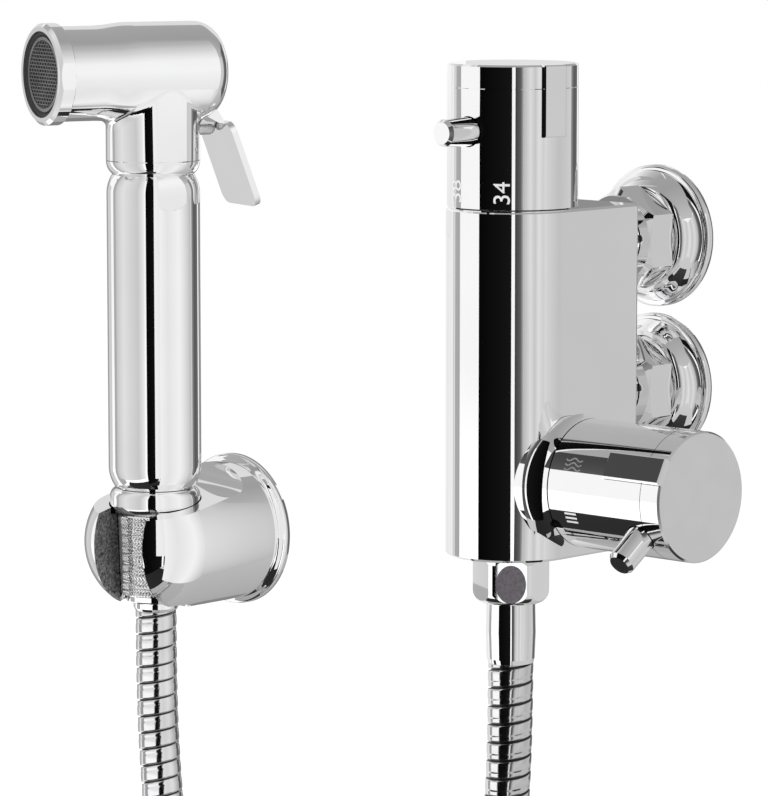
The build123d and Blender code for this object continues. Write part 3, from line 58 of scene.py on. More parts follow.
# Camera: the photograph's viewing angle, fitted to the valve and the handset
valve_axis = Vector((0.0, -0.074, 0.0))
camera_distance = 1.368
camera_azimuth = 42.0
camera_height = 0.148
camera_tilt = 7.15       # degrees below the level
sensor_width = 36
focal_pixels = 4240.0
frame_width, frame_height = 768, 796
valve_pixel = 512.6      # column of the photograph in which the valve's axis stands
camera = bpy.data.objects.new("camera", bpy.data.cameras.new("camera"))
scene.collection.objects.link(camera)
camera.location = (
    camera_distance * math.sin(rad(camera_azimuth)),
    valve_axis.y - camera_distance * math.cos(rad(camera_azimuth)),
    camera_height,
)
heading = rad(camera_azimuth) + math.atan((valve_pixel - frame_width / 2) / focal_pixels)
camera.rotation_euler = (rad(90 - camera_tilt), 0, heading)
camera.data.sensor_fit = "AUTO"
camera.data.sensor_width = sensor_width
camera.data.lens = sensor_width * focal_pixels / frame_height
camera.data.clip_end = 20
scene.camera = camera


# Materials
def material(name):
    m = bpy.data.materials.new(name)
    m.use_nodes = True
    tree = m.node_tree
    shader = tree.nodes["Principled BSDF"]
    coords = tree.nodes.new("ShaderNodeTexCoord")
    return m, tree, shader, coords.outputs["Object"]


def noise(tree, coords, scale, detail=3.0, roughness=0.5):
    n = tree.nodes.new("ShaderNodeTexNoise")
    n.inputs["Scale"].default_value = scale
    n.inputs["Detail"].default_value = detail
    n.inputs["Roughness"].default_value = roughness
    tree.links.new(coords, n.inputs["Vector"])
    return n.outputs["Fac"]


def to_range(tree, value, low, high):
    r = tree.nodes.new("ShaderNodeMapRange")
    r.inputs["To Min"].default_value = low
    r.inputs["To Max"].default_value = high
    tree.links.new(value, r.inputs["Value"])
    return r.outputs["Result"]


def ramp(tree, value, stops):
    r = tree.nodes.new("ShaderNodeValToRGB")
    for extra in stops[2:]:
        r.color_ramp.elements.new(extra[0])
    for element, (place, colour) in zip(r.color_ramp.elements, stops):
        element.position = place
        element.color = (*colour, 1)
    tree.links.new(value, r.inputs["Fac"])
    return r.outputs["Color"]


def bump(tree, shader, height, strength, distance):
    b = tree.nodes.new("ShaderNodeBump")
    b.inputs["Strength"].default_value = strength
    b.inputs["Distance"].default_value = distance
    tree.links.new(height, b.inputs["Height"])
    tree.links.new(b.outputs["Normal"], shader.inputs["Normal"])


def metal(name, dark, light, rough_low, rough_high, grain=60.0,
          bump_strength=0.02, bump_distance=0.00002):
    """A metal with faint variations of colour and roughness, and a faint waviness."""
    m, tree, shader, coords = material(name)
    shader.inputs["Metallic"].default_value = 1.0
    broad = noise(tree, coords, grain * 0.5, 2.0)
    fine = noise(tree, coords, grain * 14, 4.0)
    tree.links.new(ramp(tree, broad, [(0.3, dark), (0.7, light)]), shader.inputs["Base Color"])
    tree.links.new(to_range(tree, fine, rough_low, rough_high), shader.inputs["Roughness"])
    bump(tree, shader, broad, bump_strength, bump_distance)
    return m


def dull(name, dark, light, roughness, grain=400.0,
         bump_strength=0.25, bump_distance=0.00005):
    """A plastic, rubber or ceramic with a fine mottled surface."""
    m, tree, shader, coords = material(name)
    fine = noise(tree, coords, grain, 5.0, 0.6)
    tree.links.new(ramp(tree, fine, [(0.3, dark), (0.7, light)]), shader.inputs["Base Color"])
    rough = to_range(tree, fine, roughness * 0.85, roughness * 1.15)
    tree.links.new(rough, shader.inputs["Roughness"])
    bump(tree, shader, fine, bump_strength, bump_distance)
    return m


chrome = metal("polished_chrome", (0.91, 0.91, 0.915), (0.94, 0.94, 0.945), 0.015, 0.035)
hose_steel = metal(
    "hose_steel", (0.70, 0.70, 0.71), (0.78, 0.78, 0.79), 0.08, 0.16, 120.0, 0.05, 0.00003
)
# Near-black metal for the hose's grooves: painted shade where the windings shade each other
groove_painted_shade = metal("groove_painted_shade", (0.05, 0.05, 0.05), (0.09, 0.09, 0.09), 0.35, 0.5, 120.0)
brushed = metal(
    "bare_steel", (0.50, 0.50, 0.51), (0.62, 0.62, 0.63), 0.22, 0.38, 200.0, 0.1, 0.00003
)
brass = metal(
    "machined_brass", (0.62, 0.46, 0.20), (0.76, 0.59, 0.30), 0.16, 0.30, 160.0, 0.08, 0.00003
)
copper = metal("copper_capsule", (0.60, 0.30, 0.17), (0.74, 0.41, 0.26), 0.18, 0.30)
black_plastic = dull("black_plastic", (0.012, 0.012, 0.013), (0.03, 0.03, 0.032), 0.45)
grey_rubber = dull("grey_rubber", (0.09, 0.09, 0.095), (0.14, 0.14, 0.145), 0.5)
black_rubber = dull("black_rubber", (0.010, 0.010, 0.010), (0.03, 0.03, 0.03), 0.6)
white_plastic = dull("white_plastic", (0.74, 0.74, 0.72), (0.82, 0.82, 0.80), 0.38)
ceramic = dull("ceramic", (0.86, 0.85, 0.80), (0.92, 0.91, 0.87), 0.12, 200.0, 0.03)
mesh_steel = metal("mesh_steel", (0.18, 0.18, 0.18), (0.28, 0.28, 0.28), 0.3, 0.45, 200.0)
mark_white = dull("mark_white", (0.86, 0.86, 0.86), (0.92, 0.92, 0.92), 0.4, 300.0, 0.05)
mark_grey = dull("mark_grey", (0.20, 0.20, 0.21), (0.27, 0.27, 0.28), 0.5, 300.0, 0.05)

by_slot = {
    "chrome": chrome,
    "holder_chrome": chrome,
    "hose_cover": hose_steel,
    "brass": brass,
    "white_plastic": white_plastic,
    "copper": copper,
    "steel": brushed,
    "ceramic": ceramic,
    "rubber": black_rubber,
    "black_plastic": black_plastic,
    "grey_rubber": grey_rubber,
}
for entry in frame["record"]["subparts"]:
    node = frame["nodes"][entry["node"]]
    look = by_slot[entry["material_slot"]]
    if entry["node"] in ("inlet_bushes", "wall_unions"):
        look = chrome
    elif entry["node"] == "spray_seal":
        look = black_rubber
    for material_slot in node.material_slots:
        material_slot.link = "OBJECT"
        material_slot.material = look


# Pieces made here
def new_piece(name, mesh_maker, look, body, smooth=True):
    """A mesh object from a filled bmesh, riding on a body if one is named."""
    mesh = bpy.data.meshes.new(name)
    bm = bmesh.new()
    mesh_maker(bm)
    bmesh.ops.recalc_face_normals(bm, faces=bm.faces)
    bm.to_mesh(mesh)
    bm.free()
    for polygon in mesh.polygons:
        polygon.use_smooth = smooth
    mesh.materials.append(look)
    piece = bpy.data.objects.new(name, mesh)
    scene.collection.objects.link(piece)
    if body:
        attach(piece, body)
    return piece


# Hose: one open spline along the route, whose points are in millimetres, and a wound cover on it
drop_valve = [
    (0.0, -74.0, -110.5),
    (0.0, -74.0, -138.0),
    (-4.3, -72.4, -174.0),
    (-14.5, -69.3, -240.0),
    (-20.5, -67.0, -290.0),
]
drop_handset = [
    (-185.5, -41.5, -290.0),
    (-194.5, -41.5, -246.0),
    (-202.4, -41.5, -183.0),
    (-204.1, -41.5, -149.6),
    (-204.1, -41.5, -122.1),
]
right_x, left_x, loop_y, loop_z = -20.5, -185.5, -67.0, -323.0
loop_shift = 8.5         # towards the wall with each half turn
half_turns, turn_steps = 3, 7
loop_radius = (right_x - left_x) / 2
stretch = 1 / math.cos(math.pi / (2 * turn_steps))
turns = []
for half in range(half_turns):
    from_right = 1 if half % 2 == 0 else -1
    for step in range(turn_steps):
        share = (step + 0.5) / turn_steps
        turns.append((
            (right_x + left_x) / 2 + from_right * loop_radius * stretch * math.cos(math.pi * share),
            loop_y + loop_shift * (half + share),
            loop_z - from_right * loop_radius * stretch * math.sin(math.pi * share),
        ))
route = drop_valve + turns + drop_handset
curve = bpy.data.curves.new("hose_line", "CURVE")
curve.dimensions = "3D"
spline = curve.splines.new("NURBS")
spline.points.add(len(route) - 1)
for point, place in zip(spline.points, route):
    point.co = (*(Vector(place) * mm), 1)
spline.order_u = 3
spline.use_endpoint_u = True
spline.resolution_u = 24
line = bpy.data.objects.new("hose_line", curve)
scene.collection.objects.link(line)
line_mesh = bpy.data.meshes.new_from_object(line)
path = [v.co.copy() for v in line_mesh.vertices]
bpy.data.objects.remove(line)
bpy.data.curves.remove(curve)
bpy.data.meshes.remove(line_mesh)


class Track:
    """Places and turning-free frames along a row of points."""

    def __init__(self, points):
        self.points = points
        self.at = [0.0]
        for a, b in zip(points, points[1:]):
            self.at.append(self.at[-1] + (b - a).length)
        self.length = self.at[-1]
        self.along = []
        for i in range(len(points)):
            before, after = points[max(i - 1, 0)], points[min(i + 1, len(points) - 1)]
            self.along.append((after - before).normalized())
        across = Vector((1, 0, 0))
        self.across = []
        for direction in self.along:
            across = (across - direction * across.dot(direction)).normalized()
            self.across.append(across)
        self.last = 0

    def frame(self, distance):
        distance = min(max(distance, 0.0), self.length)
        i = min(self.last, len(self.points) - 2)
        while i > 0 and self.at[i] > distance:
            i -= 1
        while i < len(self.points) - 2 and self.at[i + 1] < distance:
            i += 1
        self.last = i
        share = (distance - self.at[i]) / max(self.at[i + 1] - self.at[i], 1e-9)
        centre = self.points[i].lerp(self.points[i + 1], share)
        along = self.along[i].lerp(self.along[i + 1], share).normalized()
        across = self.across[i].lerp(self.across[i + 1], share)
        across = (across - along * across.dot(along)).normalized()
        return centre, across, along.cross(across)


wind_pitch = 6.1 * mm
# One winding: (share of the pitch, radius in mm). Its first faces are the groove, which is coloured
# with painted shade.
wind_profile = [
    (0.00, 6.40), (0.07, 6.36), (0.10, 7.25), (0.12, 7.44), (0.20, 7.50), (0.40, 7.50),
    (0.60, 7.48), (0.67, 7.42), (0.71, 7.30), (0.78, 7.33), (0.90, 7.33), (0.97, 7.25),
]
painted_shade_rows = 2
hose_segments = 40
track = Track(path)


def hose_skin(bm):
    """A spiral strip whose rows run on from one winding into the next."""
    rows = []
    row_count = len(wind_profile)
    wind_count = int(track.length / wind_pitch) + 2
    for i in range(wind_count * row_count):
        wind, part = divmod(i, row_count)
        share, radius = wind_profile[part]
        row = []
        for j in range(hose_segments):
            turn = 2 * math.pi * j / hose_segments
            distance = (wind - 1 + share + j / hose_segments) * wind_pitch
            centre, across, up = track.frame(distance)
            out = across * math.cos(turn) + up * math.sin(turn)
            row.append(bm.verts.new(centre + out * radius * mm))
        rows.append(row)
    for i in range(len(rows) - 1):
        strip = [
            bm.faces.new((rows[i][j], rows[i][j + 1], rows[i + 1][j + 1], rows[i + 1][j]))
            for j in range(hose_segments - 1)
        ]
        if i + row_count + 1 < len(rows):
            a, b = rows[i][-1], rows[i + 1][-1]
            c, d = rows[i + row_count + 1][0], rows[i + row_count][0]
            strip.append(bm.faces.new((a, d, c, b)))
        for face in strip:
            # The groove's first rows get the near-black metal, which paints shade into the grooves
            face.material_index = int(i % row_count < painted_shade_rows)
    bmesh.ops.remove_doubles(bm, verts=bm.verts, dist=1e-7)
    bmesh.ops.dissolve_degenerate(bm, edges=bm.edges, dist=1e-7)


hose = new_piece("hose_cover", hose_skin, hose_steel, None)
# A second slot holding the painted shade for the grooves
hose.data.materials.append(groove_painted_shade)
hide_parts("hose_valve_drop", "hose_loop", "hose_handset_drop")
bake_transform(hose)


# Turned skins
def turned_skin(bm, base, outline, segments, cut=None):
    """A ring of (radius, height) points in mm, turned about the z axis of base.

    cut(turn, height) is taken off the radius."""
    rows = []
    for radius, height in outline:
        row = []
        for j in range(segments):
            turn = 2 * math.pi * j / segments
            r = radius - (cut(turn, height) if cut else 0.0)
            point = Vector((r * math.cos(turn), r * math.sin(turn), height)) * mm
            row.append(bm.verts.new(base @ point))
        rows.append(row)
    for low, high in zip(rows, rows[1:] + rows[:1]):
        for j in range(segments):
            bm.faces.new((low[j], low[(j + 1) % segments], high[(j + 1) % segments], high[j]))


# Cone nut with a diamond knurl, in mm below the foot of the handset
handset_foot = Vector((-204.1, -41.5, -85.6)) * mm
knurl_count, knurl_pitch, knurl_depth = 66, 1.35, 0.42
knurl_slope = 1.35       # above 1 the diamonds have flat tops
knurl_rows, knurl_segments = 112, 330
cone_top, cone_foot = (13.8, -1.6), (12.75, -29.6)


def saw(phase):
    share = phase % 1.0
    return min(share, 1 - share) * 2


def knurl(turn, height):
    """Depth of the knurl's grooves, and none above and below the cone."""
    if not cone_foot[1] - 0.1 <= height <= cone_top[1] + 0.1:
        return 0.0
    around, up = knurl_count * turn / (2 * math.pi), height / knurl_pitch
    rise = knurl_slope * min(saw(around + up), saw(around - up))
    return knurl_depth * (1 - min(1.0, rise))


def cone_skin(bm):
    outline = [(7.0, -0.35), (13.2, -0.35), (13.6, -0.6), (13.75, -1.1), cone_top]
    for i in range(1, knurl_rows):
        share = i / knurl_rows
        outline.append((
            cone_top[0] + (cone_foot[0] - cone_top[0]) * share,
            cone_top[1] + (cone_foot[1] - cone_top[1]) * share,
        ))
    outline += [
        cone_foot, (12.6, -30.1), (12.2, -30.45), (11.0, -30.5), (10.9, -30.7), (10.9, -32.5),
        (10.7, -32.9), (10.3, -33.08), (7.0, -33.08),
    ]
    turned_skin(bm, Matrix.Translation(handset_foot), outline, knurl_segments, knurl)


cone = new_piece("cone_nut_knurled", cone_skin, chrome, "hose_end", smooth=False)
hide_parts("cone_nut")


# Wall flanges and the holder's ring, turned finer than the solids. Heights run out of the wall.
inlet_height = 25.0      # above and below the frame's origin
holder_height = handset_foot.z - 11.0 * mm
ring_segments = 128


def out_of_wall(x, z):
    return Matrix(((1, 0, 0, x), (0, 0, -1, 0), (0, 1, 0, z), (0, 0, 0, 1)))


def flange_skin(bm):
    outline = [
        (13.4, 0.0), (23.15, 0.0), (23.75, 0.6), (23.75, 2.6), (23.55, 3.1), (22.95, 3.4),
        (22.2, 3.45), (21.55, 3.6), (19.5, 7.6), (18.7, 9.0), (17.6, 10.2), (16.4, 11.0),
        (13.4, 11.0),
    ]
    for height in (inlet_height, -inlet_height):
        turned_skin(bm, out_of_wall(0, height * mm), outline, ring_segments)


def ring_skin(bm):
    outline = [
        (20.8, 0.0), (28.0, 0.0), (28.0, 2.2), (27.6, 2.6), (26.8, 2.6), (26.8, 3.9), (20.8, 3.9),
    ]
    turned_skin(bm, out_of_wall(handset_foot.x, holder_height), outline, ring_segments)


flanges = new_piece("wall_flanges_fine", flange_skin, chrome, "valve")
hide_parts("wall_flanges")
ring = new_piece("holder_ring_fine", ring_skin, chrome, "valve")
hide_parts("holder_ring")


# Spray mesh: a sheet of small six-sided holes in front of the spray plate
nozzle_turn = rad(18)
ahead = Vector((-math.sin(nozzle_turn), -math.cos(nozzle_turn), 0))
barrel_height = 160.0    # above the foot of the handset
barrel_middle = handset_foot + Vector((0, 0, barrel_height)) * mm
mesh_ahead = 42.9 * mm   # from the barrel's middle to the front of the mesh
spray_frame = Matrix.Translation(barrel_middle + ahead * mesh_ahead) @ Matrix((
    (-ahead.y, 0, ahead.x, 0),
    (ahead.x, 0, ahead.y, 0),
    (0, 1, 0, 0),
    (0, 0, 0, 1),
))
mesh_pitch, mesh_wire, mesh_depth, mesh_reach = 1.45, 0.30, 0.55, 12.9
rim_inner, rim_outer, rim_front, rim_segments = 12.2, 13.35, 0.02, 72


def even_polygon(x, y, radius, sides, first=0.0):
    angles = [rad(first + 360 / sides * k) for k in range(sides)]
    return [(x + radius * math.cos(angle), y + radius * math.sin(angle)) for angle in angles]


def spray_skin(bm):
    def ring_of(points, z):
        return [bm.verts.new(spray_frame @ (Vector((x, y, z)) * mm)) for x, y in points]

    def wall(low, high):
        for k in range(len(low)):
            n = (k + 1) % len(low)
            bm.faces.new((low[k], low[n], high[n], high[k]))

    cell = mesh_pitch / math.sqrt(3)
    hole = (mesh_pitch - mesh_wire) / math.sqrt(3)
    count = int(mesh_reach / mesh_pitch) + 2
    for row in range(-count - 2, count + 3):
        for column in range(-count, count + 1):
            x = (column + 0.5 * (row % 2)) * mesh_pitch
            y = row * mesh_pitch * math.sqrt(3) / 2
            if math.hypot(x, y) > mesh_reach - 0.5 * mesh_pitch:
                continue
            front_out = ring_of(even_polygon(x, y, cell, 6, 30), 0)
            front_in = ring_of(even_polygon(x, y, hole, 6, 30), 0)
            back_in = ring_of(even_polygon(x, y, hole, 6, 30), -mesh_depth)
            wall(front_out, front_in)
            wall(front_in, back_in)
    rim = [
        (rim_inner, rim_front), (rim_outer, rim_front),
        (rim_outer, -mesh_depth), (rim_inner, -mesh_depth),
    ]
    rows = [ring_of(even_polygon(0, 0, radius, rim_segments), depth) for radius, depth in rim]
    for low, high in zip(rows, rows[1:] + rows[:1]):
        wall(low, high)
    bmesh.ops.remove_doubles(bm, verts=bm.verts, dist=2e-6)


new_piece("spray_mesh", spray_skin, mesh_steel, "handset", smooth=False)


# Markings: flat shapes in mm, wrapped just above the knobs' round sleeves
print_lift = 0.035
temp_radius, temp_axis_y, temp_z = 21.2 + print_lift, -74.0, 44.6
flow_radius, flow_axis_y, flow_axis_z = 21.0 + print_lift, -65.0, -49.7
digit_height, digit_cuts = 5.4, 14


def bent_strip(bm, points, width, place):
    """A thin ribbon along points of a flat drawing, laid on a surface by place(x, y)."""
    rows = []
    for i, (x, y) in enumerate(points):
        before, after = points[max(i - 1, 0)], points[min(i + 1, len(points) - 1)]
        along = Vector((after[0] - before[0], after[1] - before[1])).normalized()
        side = Vector((-along.y, along.x)) * width / 2
        edges = (place(x + side.x, y + side.y), place(x - side.x, y - side.y))
        rows.append([bm.verts.new(edge) for edge in edges])
    for a, b in zip(rows, rows[1:]):
        bm.faces.new((a[0], a[1], b[1], b[0]))


def on_temp_sleeve(azimuth):
    """A function that wraps a drawing on the sleeve: its x runs up the knob and its y around it."""
    def place(reading, up):
        turn = azimuth - up / temp_radius
        return Vector((
            temp_radius * math.sin(turn),
            temp_axis_y - temp_radius * math.cos(turn),
            temp_z + reading,
        )) * mm
    return place


def on_flow_sleeve(x, around):
    """x along the knob's axis, around the sleeve in mm from its top towards the front."""
    turn = around / flow_radius
    return Vector((
        x,
        flow_axis_y - flow_radius * math.sin(turn),
        flow_axis_z + flow_radius * math.cos(turn),
    )) * mm


def flat_digits(text):
    """A mesh of the digits, in millimetres, centred, with digit_height as its height."""
    font = bpy.data.curves.new("digits", "FONT")
    font.body = text
    font.size = 1.0
    font.align_x = "CENTER"
    holder = bpy.data.objects.new("digits", font)
    scene.collection.objects.link(holder)
    mesh = bpy.data.meshes.new_from_object(holder)
    bpy.data.objects.remove(holder)
    bpy.data.curves.remove(font)
    bm = bmesh.new()
    bm.from_mesh(mesh)
    bpy.data.meshes.remove(mesh)
    low = min(v.co.y for v in bm.verts)
    tall = max(v.co.y for v in bm.verts) - low
    for v in bm.verts:
        v.co = Vector((v.co.x, v.co.y - low - tall / 2, 0)) * digit_height / tall
    return bm


def digits_skin(text, azimuth):
    def skin(bm):
        flat = flat_digits(text)
        for k in range(1, digit_cuts):
            cut = -digit_height / 2 + digit_height * k / digit_cuts
            geometry = flat.verts[:] + flat.edges[:] + flat.faces[:]
            bmesh.ops.bisect_plane(flat, geom=geometry, plane_co=(0, cut, 0), plane_no=(0, 1, 0))
        place = on_temp_sleeve(rad(azimuth))
        made = {v: bm.verts.new(place(v.co.x, v.co.y)) for v in flat.verts}
        for face in flat.faces:
            bm.faces.new([made[v] for v in face.verts])
        flat.free()
    return skin


for text, azimuth in (("34", 32.7), ("38", -16.0), ("42", -64.7), ("46", -113.0)):
    skin = digits_skin(text, azimuth)
    new_piece("digits_" + text, skin, mark_white, "temp_knob")


wave_start, wave_length, wave_steps = 32.2, 6.8, 24
wave_first, wave_gap, wave_swing, wave_width = 22.3, 1.55, 0.5, 0.5
stroke_start, stroke_step, stroke_points = 32.6, 0.6, 9
stroke_first, stroke_gap, stroke_width = 40.2, 1.5, 0.7


def waves_skin(bm):
    for line in range(3):
        points = []
        for k in range(wave_steps + 1):
            swing = wave_swing * math.sin(3 * math.pi * k / wave_steps)
            x = wave_start + wave_length * k / wave_steps
            points.append((x, wave_first + wave_gap * line + swing))
        bent_strip(bm, points, wave_width, on_flow_sleeve)


def strokes_skin(bm):
    for line in range(3):
        around = stroke_first + stroke_gap * line
        points = [(stroke_start + stroke_step * i, around) for i in range(stroke_points)]
        bent_strip(bm, points, stroke_width, on_flow_sleeve)


new_piece("wave_mark", waves_skin, mark_grey, "flow_knob")
new_piece("stroke_marks", strokes_skin, mark_white, "flow_knob")


# Metals that change on a part of a piece: the holder's slot, the hose nut, the flow knob's face
def mixed(name, base, parts):
    """A copy of a metal with another colour and roughness where the share from parts is 1."""
    m = base.copy()
    m.name = name
    tree = m.node_tree
    shader = tree.nodes["Principled BSDF"]
    coords = [n for n in tree.nodes if n.type == "TEX_COORD"][0].outputs["Object"]
    share, colour, roughness = parts(tree, coords)
    for socket, value in (("Base Color", colour), ("Roughness", roughness)):
        before = shader.inputs[socket].links[0].from_socket
        mix = tree.nodes.new("ShaderNodeMix")
        if socket == "Base Color":
            mix.data_type = "RGBA"
        ends = [i for i in mix.inputs if i.enabled and i.name in ("A", "B")]
        factor = [i for i in mix.inputs if i.enabled and i.name == "Factor"][0]
        result = [o for o in mix.outputs if o.enabled][0]
        tree.links.new(share, factor)
        tree.links.new(before, ends[0])
        tree.links.new(value, ends[1])
        tree.links.new(result, shader.inputs[socket])
    return m


def maths(tree, operation, a, b=None):
    n = tree.nodes.new("ShaderNodeMath")
    n.operation = operation
    for socket, value in zip(n.inputs, (a, b)):
        if isinstance(value, (int, float)):
            socket.default_value = value
        elif value is not None:
            tree.links.new(value, socket)
    return n.outputs["Value"]


def along_axis(tree, coords, origin, direction):
    """Distance of a point past origin along direction, in metres."""
    away = tree.nodes.new("ShaderNodeVectorMath")
    away.operation = "SUBTRACT"
    tree.links.new(coords, away.inputs[0])
    away.inputs[1].default_value = origin
    dot = tree.nodes.new("ShaderNodeVectorMath")
    dot.operation = "DOT_PRODUCT"
    tree.links.new(away.outputs["Vector"], dot.inputs[0])
    dot.inputs[1].default_value = direction
    return dot.outputs["Value"]


slot_turn = rad(12)
slot_out = (math.sin(slot_turn), -math.cos(slot_turn), 0)
slot_side = (math.cos(slot_turn), math.sin(slot_turn), 0)
slot_half_width, slot_start = 10.62 * mm, 1.5 * mm


def slot_walls(tree, coords):
    """Speckled cast walls in the holder's open slot."""
    across = maths(tree, "ABSOLUTE", along_axis(tree, coords, handset_foot, slot_side))
    inside = maths(tree, "LESS_THAN", across, slot_half_width)
    outward = along_axis(tree, coords, handset_foot, slot_out)
    share = maths(tree, "MULTIPLY", inside, maths(tree, "GREATER_THAN", outward, slot_start))
    speckle = noise(tree, coords, 900, 6.0, 0.75)
    colour = ramp(tree, speckle, [(0.38, (0.05, 0.05, 0.052)), (0.64, (0.66, 0.66, 0.67))])
    return share, colour, to_range(tree, speckle, 0.3, 0.6)


holder_metal = mixed("holder_chrome", chrome, slot_walls)
frame["nodes"]["holder_body"].material_slots[0].material = holder_metal

nut = frame["nodes"]["hose_nut_valve"]
nut_heights = [(nut.matrix_world @ Vector(corner)).z for corner in nut.bound_box]
patch_z = (min(nut_heights) + max(nut_heights)) / 2 - 0.4 * mm
patch_middle = Vector((valve_axis.x, valve_axis.y, patch_z))
patch_turn = rad(-48)
nut_flat_reach, flat_margin = 11.4 * mm, 0.03 * mm
patch_half_width, patch_half_height = 4.9 * mm, 6.3 * mm


def nut_patch(tree, coords):
    """A rough oval patch in the middle of two opposite flats of the nut."""
    outward = (math.cos(patch_turn), math.sin(patch_turn), 0)
    sideways = (-outward[1], outward[0], 0)
    reach = maths(tree, "ABSOLUTE", along_axis(tree, coords, patch_middle, outward))
    on_flat = maths(tree, "GREATER_THAN", reach, nut_flat_reach - flat_margin)
    squares = []
    for direction, half in ((sideways, patch_half_width), ((0, 0, 1), patch_half_height)):
        part = maths(tree, "DIVIDE", along_axis(tree, coords, patch_middle, direction), half)
        squares.append(maths(tree, "MULTIPLY", part, part))
    in_oval = maths(tree, "LESS_THAN", maths(tree, "ADD", *squares), 1.0)
    share = maths(tree, "MULTIPLY", on_flat, in_oval)
    grain = noise(tree, coords, 1100, 6.0, 0.7)
    colour = ramp(tree, grain, [(0.3, (0.32, 0.295, 0.325)), (0.7, (0.62, 0.57, 0.63))])
    return share, colour, to_range(tree, grain, 0.4, 0.6)


nut.material_slots[0].material = mixed("nut_chrome", chrome, nut_patch)

cap_face = 71.9 * mm     # just inside the flow knob's flat end


def satin_face(tree, coords):
    """The flat end of the flow knob, less sharply polished than its side."""
    along = along_axis(tree, coords, (0, 0, 0), (1, 0, 0))
    share = maths(tree, "GREATER_THAN", along, cap_face)
    grain = noise(tree, coords, 120, 2.0)
    colour = ramp(tree, grain, [(0.3, (0.87, 0.87, 0.88)), (0.7, (0.90, 0.90, 0.91))])
    return share, colour, to_range(tree, grain, 0.14, 0.20)


cap_satin = mixed("cap_satin", chrome, satin_face)
frame["nodes"]["flow_knob_cap"].material_slots[0].material = cap_satin


# Setting: a white world, a pale floor, two soft lamps and cards that only the polish sees
def seen_as_backdrop(tree):
    """1 for rays that meet the backdrop from the camera, in a polish or through glass."""
    rays = tree.nodes.new("ShaderNodeLightPath")
    seen = maths(tree, "ADD", rays.outputs["Is Camera Ray"], rays.outputs["Is Glossy Ray"])
    seen = maths(tree, "ADD", seen, rays.outputs["Is Transmission Ray"])
    return maths(tree, "MINIMUM", seen, 1.0)


world = bpy.data.worlds.new("studio")
scene.world = world
world.use_nodes = True
world_tree = world.node_tree
background = world_tree.nodes["Background"]
background.inputs["Color"].default_value = (1, 1, 1, 1)
light_strength, seen_strength = 0.72, 1.0
strength = to_range(world_tree, seen_as_backdrop(world_tree), light_strength, seen_strength)
world_tree.links.new(strength, background.inputs["Strength"])


def stage_plane(name, corners, look, polish_only=False):
    mesh = bpy.data.meshes.new(name)
    mesh.from_pydata([Vector(c) * mm for c in corners], [], [(0, 1, 2, 3)])
    mesh.materials.append(look)
    plane = bpy.data.objects.new(name, mesh)
    scene.collection.objects.link(plane)
    if polish_only:
        plane.visible_camera = False
        plane.visible_diffuse = False
        plane.visible_shadow = False
        plane.visible_transmission = False


floor_z, floor_reach = -417.0, 15000
floor_glow = 0.36        # lifts the floor to the backdrop's white and leaves the shadow
floor_look, floor_tree, floor_shader, floor_coords = material("pale_floor")
floor_shader.inputs["Roughness"].default_value = 0.9
floor_shader.inputs["Specular IOR Level"].default_value = 0.1
floor_shader.inputs["Emission Color"].default_value = (1, 1, 1, 1)
floor_grain = noise(floor_tree, floor_coords, 30, 3.0)
floor_colour = ramp(floor_tree, floor_grain, [(0.3, (0.86, 0.86, 0.86)), (0.7, (0.88, 0.88, 0.88))])
floor_tree.links.new(floor_colour, floor_shader.inputs["Base Color"])
glow = to_range(floor_tree, seen_as_backdrop(floor_tree), 0.0, floor_glow)
floor_tree.links.new(glow, floor_shader.inputs["Emission Strength"])
floor_corners = [
    (x * floor_reach, y * floor_reach, floor_z) for x, y in ((-1, -1), (1, -1), (1, 1), (-1, 1))
]
stage_plane("floor", floor_corners, floor_look)


def lamp(name, place, target, size, power):
    light = bpy.data.lights.new(name, "AREA")
    light.shape = "RECTANGLE"
    light.size, light.size_y = size
    light.energy = power
    piece = bpy.data.objects.new(name, light)
    piece.location = place
    piece.rotation_euler = (Vector(target) - Vector(place)).to_track_quat("-Z", "Y").to_euler()
    piece.visible_glossy = False
    scene.collection.objects.link(piece)


lamp_target = (-0.1, -0.05, -0.05)
lamp("key", (-1.2, -1.7, 1.5), lamp_target, (1.2, 1.2), 17)
lamp("fill", (1.7, -1.3, 0.7), lamp_target, (1.4, 1.4), 7)


def card_look(name, origin, direction, length, stops):
    """A glowing card whose brightness runs softly through stops along its length."""
    m, tree, shader, coords = material(name)
    shader.inputs["Base Color"].default_value = (0, 0, 0, 1)
    shader.inputs["Specular IOR Level"].default_value = 0
    share = maths(tree, "DIVIDE", along_axis(tree, coords, origin, direction), length)
    colour = ramp(tree, share, [(place, (level, level, level)) for place, level in stops])
    tree.links.new(colour, shader.inputs["Emission Color"])
    shader.inputs["Emission Strength"].default_value = 1
    return m


def upright_card(name, a, b, low, high, stops, fading=False):
    """A card from a to b in mm. The stops run from a to b, or from foot to top if it is fading."""
    (ax, ay), (bx, by) = a, b
    origin, far = Vector((ax, ay, 0)) * mm, Vector((bx, by, 0)) * mm
    if fading:
        look = card_look(name, Vector((0, 0, low)) * mm, (0, 0, 1), (high - low) * mm, stops)
    else:
        look = card_look(name, origin, (far - origin).normalized(), (far - origin).length, stops)
    corners = [(ax, ay, low), (bx, by, low), (bx, by, high), (ax, ay, high)]
    stage_plane(name, corners, look, polish_only=True)


def flat_card(name, a, b, z, stops):
    """A level card with two opposite corners in mm. The stops run along x."""
    (ax, ay), (bx, by) = a, b
    look = card_look(name, Vector((ax, ay, 0)) * mm, (1, 0, 0), (bx - ax) * mm, stops)
    corners = [(ax, ay, z), (bx, ay, z), (bx, by, z), (ax, by, z)]
    stage_plane(name, corners, look, polish_only=True)


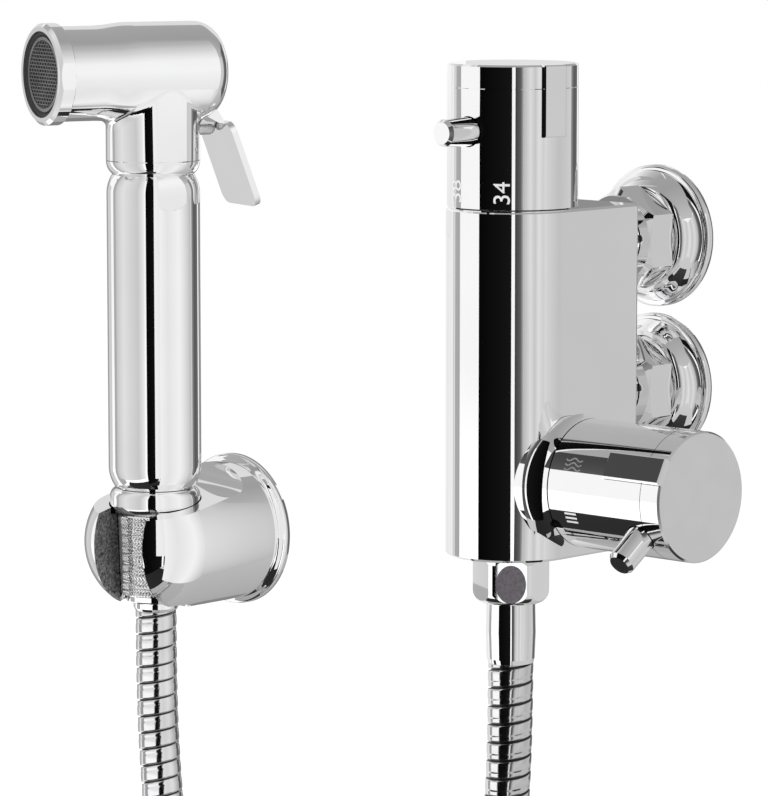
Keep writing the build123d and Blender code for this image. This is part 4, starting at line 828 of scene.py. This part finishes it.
# Cards around the valve, behind it, and near the handset
upright_card("card_black", (-62, -306), (200, -304), -450, 500, [(0.0, 0.002), (1.0, 0.008)])
upright_card(
    "card_dark", (243, -304), (398, -300), -450, 500, [(0.0, 0.05), (0.6, 0.12), (1.0, 0.42)]
)
upright_card(
    "card_right", (400, -300), (1000, 150), -450, 320,
    [(0.0, 0.5), (0.16, 0.76), (0.3, 0.6), (0.45, 0.78), (0.7, 0.66), (1.0, 0.74)],
)
upright_card(
    "card_slab", (1000, 150), (250, 900), -500, 420, [(0.0, 0.7), (0.45, 0.56), (1.0, 0.66)]
)
upright_card(
    "card_behind", (250, 900), (-260, 900), -450, 500, [(0.0, 0.30), (0.4, 0.10), (1.0, 0.16)]
)
upright_card(
    "card_back_left", (-900, 50), (-300, 500), -450, 100, [(0.0, 0.5), (0.5, 0.22), (1.0, 0.3)]
)
upright_card("card_back_high", (-900, 50), (-300, 500), 101, 500, [(0.0, 0.72), (1.0, 0.78)])
upright_card("card_left", (-520, -385), (-600, -195), -450, 500, [(0.0, 0.40), (1.0, 0.44)])
upright_card("card_shield", (-131, -108), (-115, -85), -120, 500, [(0.0, 0.95), (1.0, 0.85)])
upright_card(
    "card_grip", (-300, -110), (-160, -135), -120, 500,
    [(0.0, 0.56), (0.4, 0.80), (0.8, 0.62), (1.0, 0.9)],
)
upright_card(
    "card_head", (-120, -90), (-120, 34), 20, 420,
    [
        (0.0, 0.86), (0.07, 0.90), (0.15, 0.98), (0.22, 0.96),
        (0.32, 0.70), (0.45, 0.50), (0.7, 0.38), (1.0, 0.36),
    ],
    fading=True,
)
upright_card(
    "card_low", (-120, -90), (-120, 80), -225, 19.9,
    [(0.0, 0.95), (0.18, 0.84), (0.42, 0.95), (0.65, 0.74), (1.0, 0.5)],
)
upright_card("card_far_left", (-800, -150), (-850, 150), -416, 100, [(0.0, 0.62), (1.0, 0.70)])

# Cards on the floor and overhead
flat_card("card_floor_right", (160, -300), (1500, 900), -415, [(0.0, 0.6), (1.0, 0.7)])
flat_card("card_under", (-450, -430), (160, -121), -416, [(0.0, 0.03), (1.0, 0.02)])
flat_card("card_under_loop", (-450, -120), (14, 90), -416, [(0.0, 0.38), (1.0, 0.46)])
flat_card("card_under_right", (15, -121), (330, 120), -414, [(0.0, 0.02), (1.0, 0.05)])
flat_card(
    "card_floor_back", (-1200, 90), (159, 1800), -415, [(0.0, 0.34), (0.6, 0.42), (1.0, 0.55)]
)
flat_card(
    "card_over", (-1500, -800), (1500, 3000), 900,
    [(0.0, 0.44), (0.5, 0.36), (0.8, 0.5), (1.0, 0.55)],
)
flat_card("card_over_edge", (-2300, -2000), (-700, -640), 899, [(0.0, 0.12), (1.0, 0.05)])
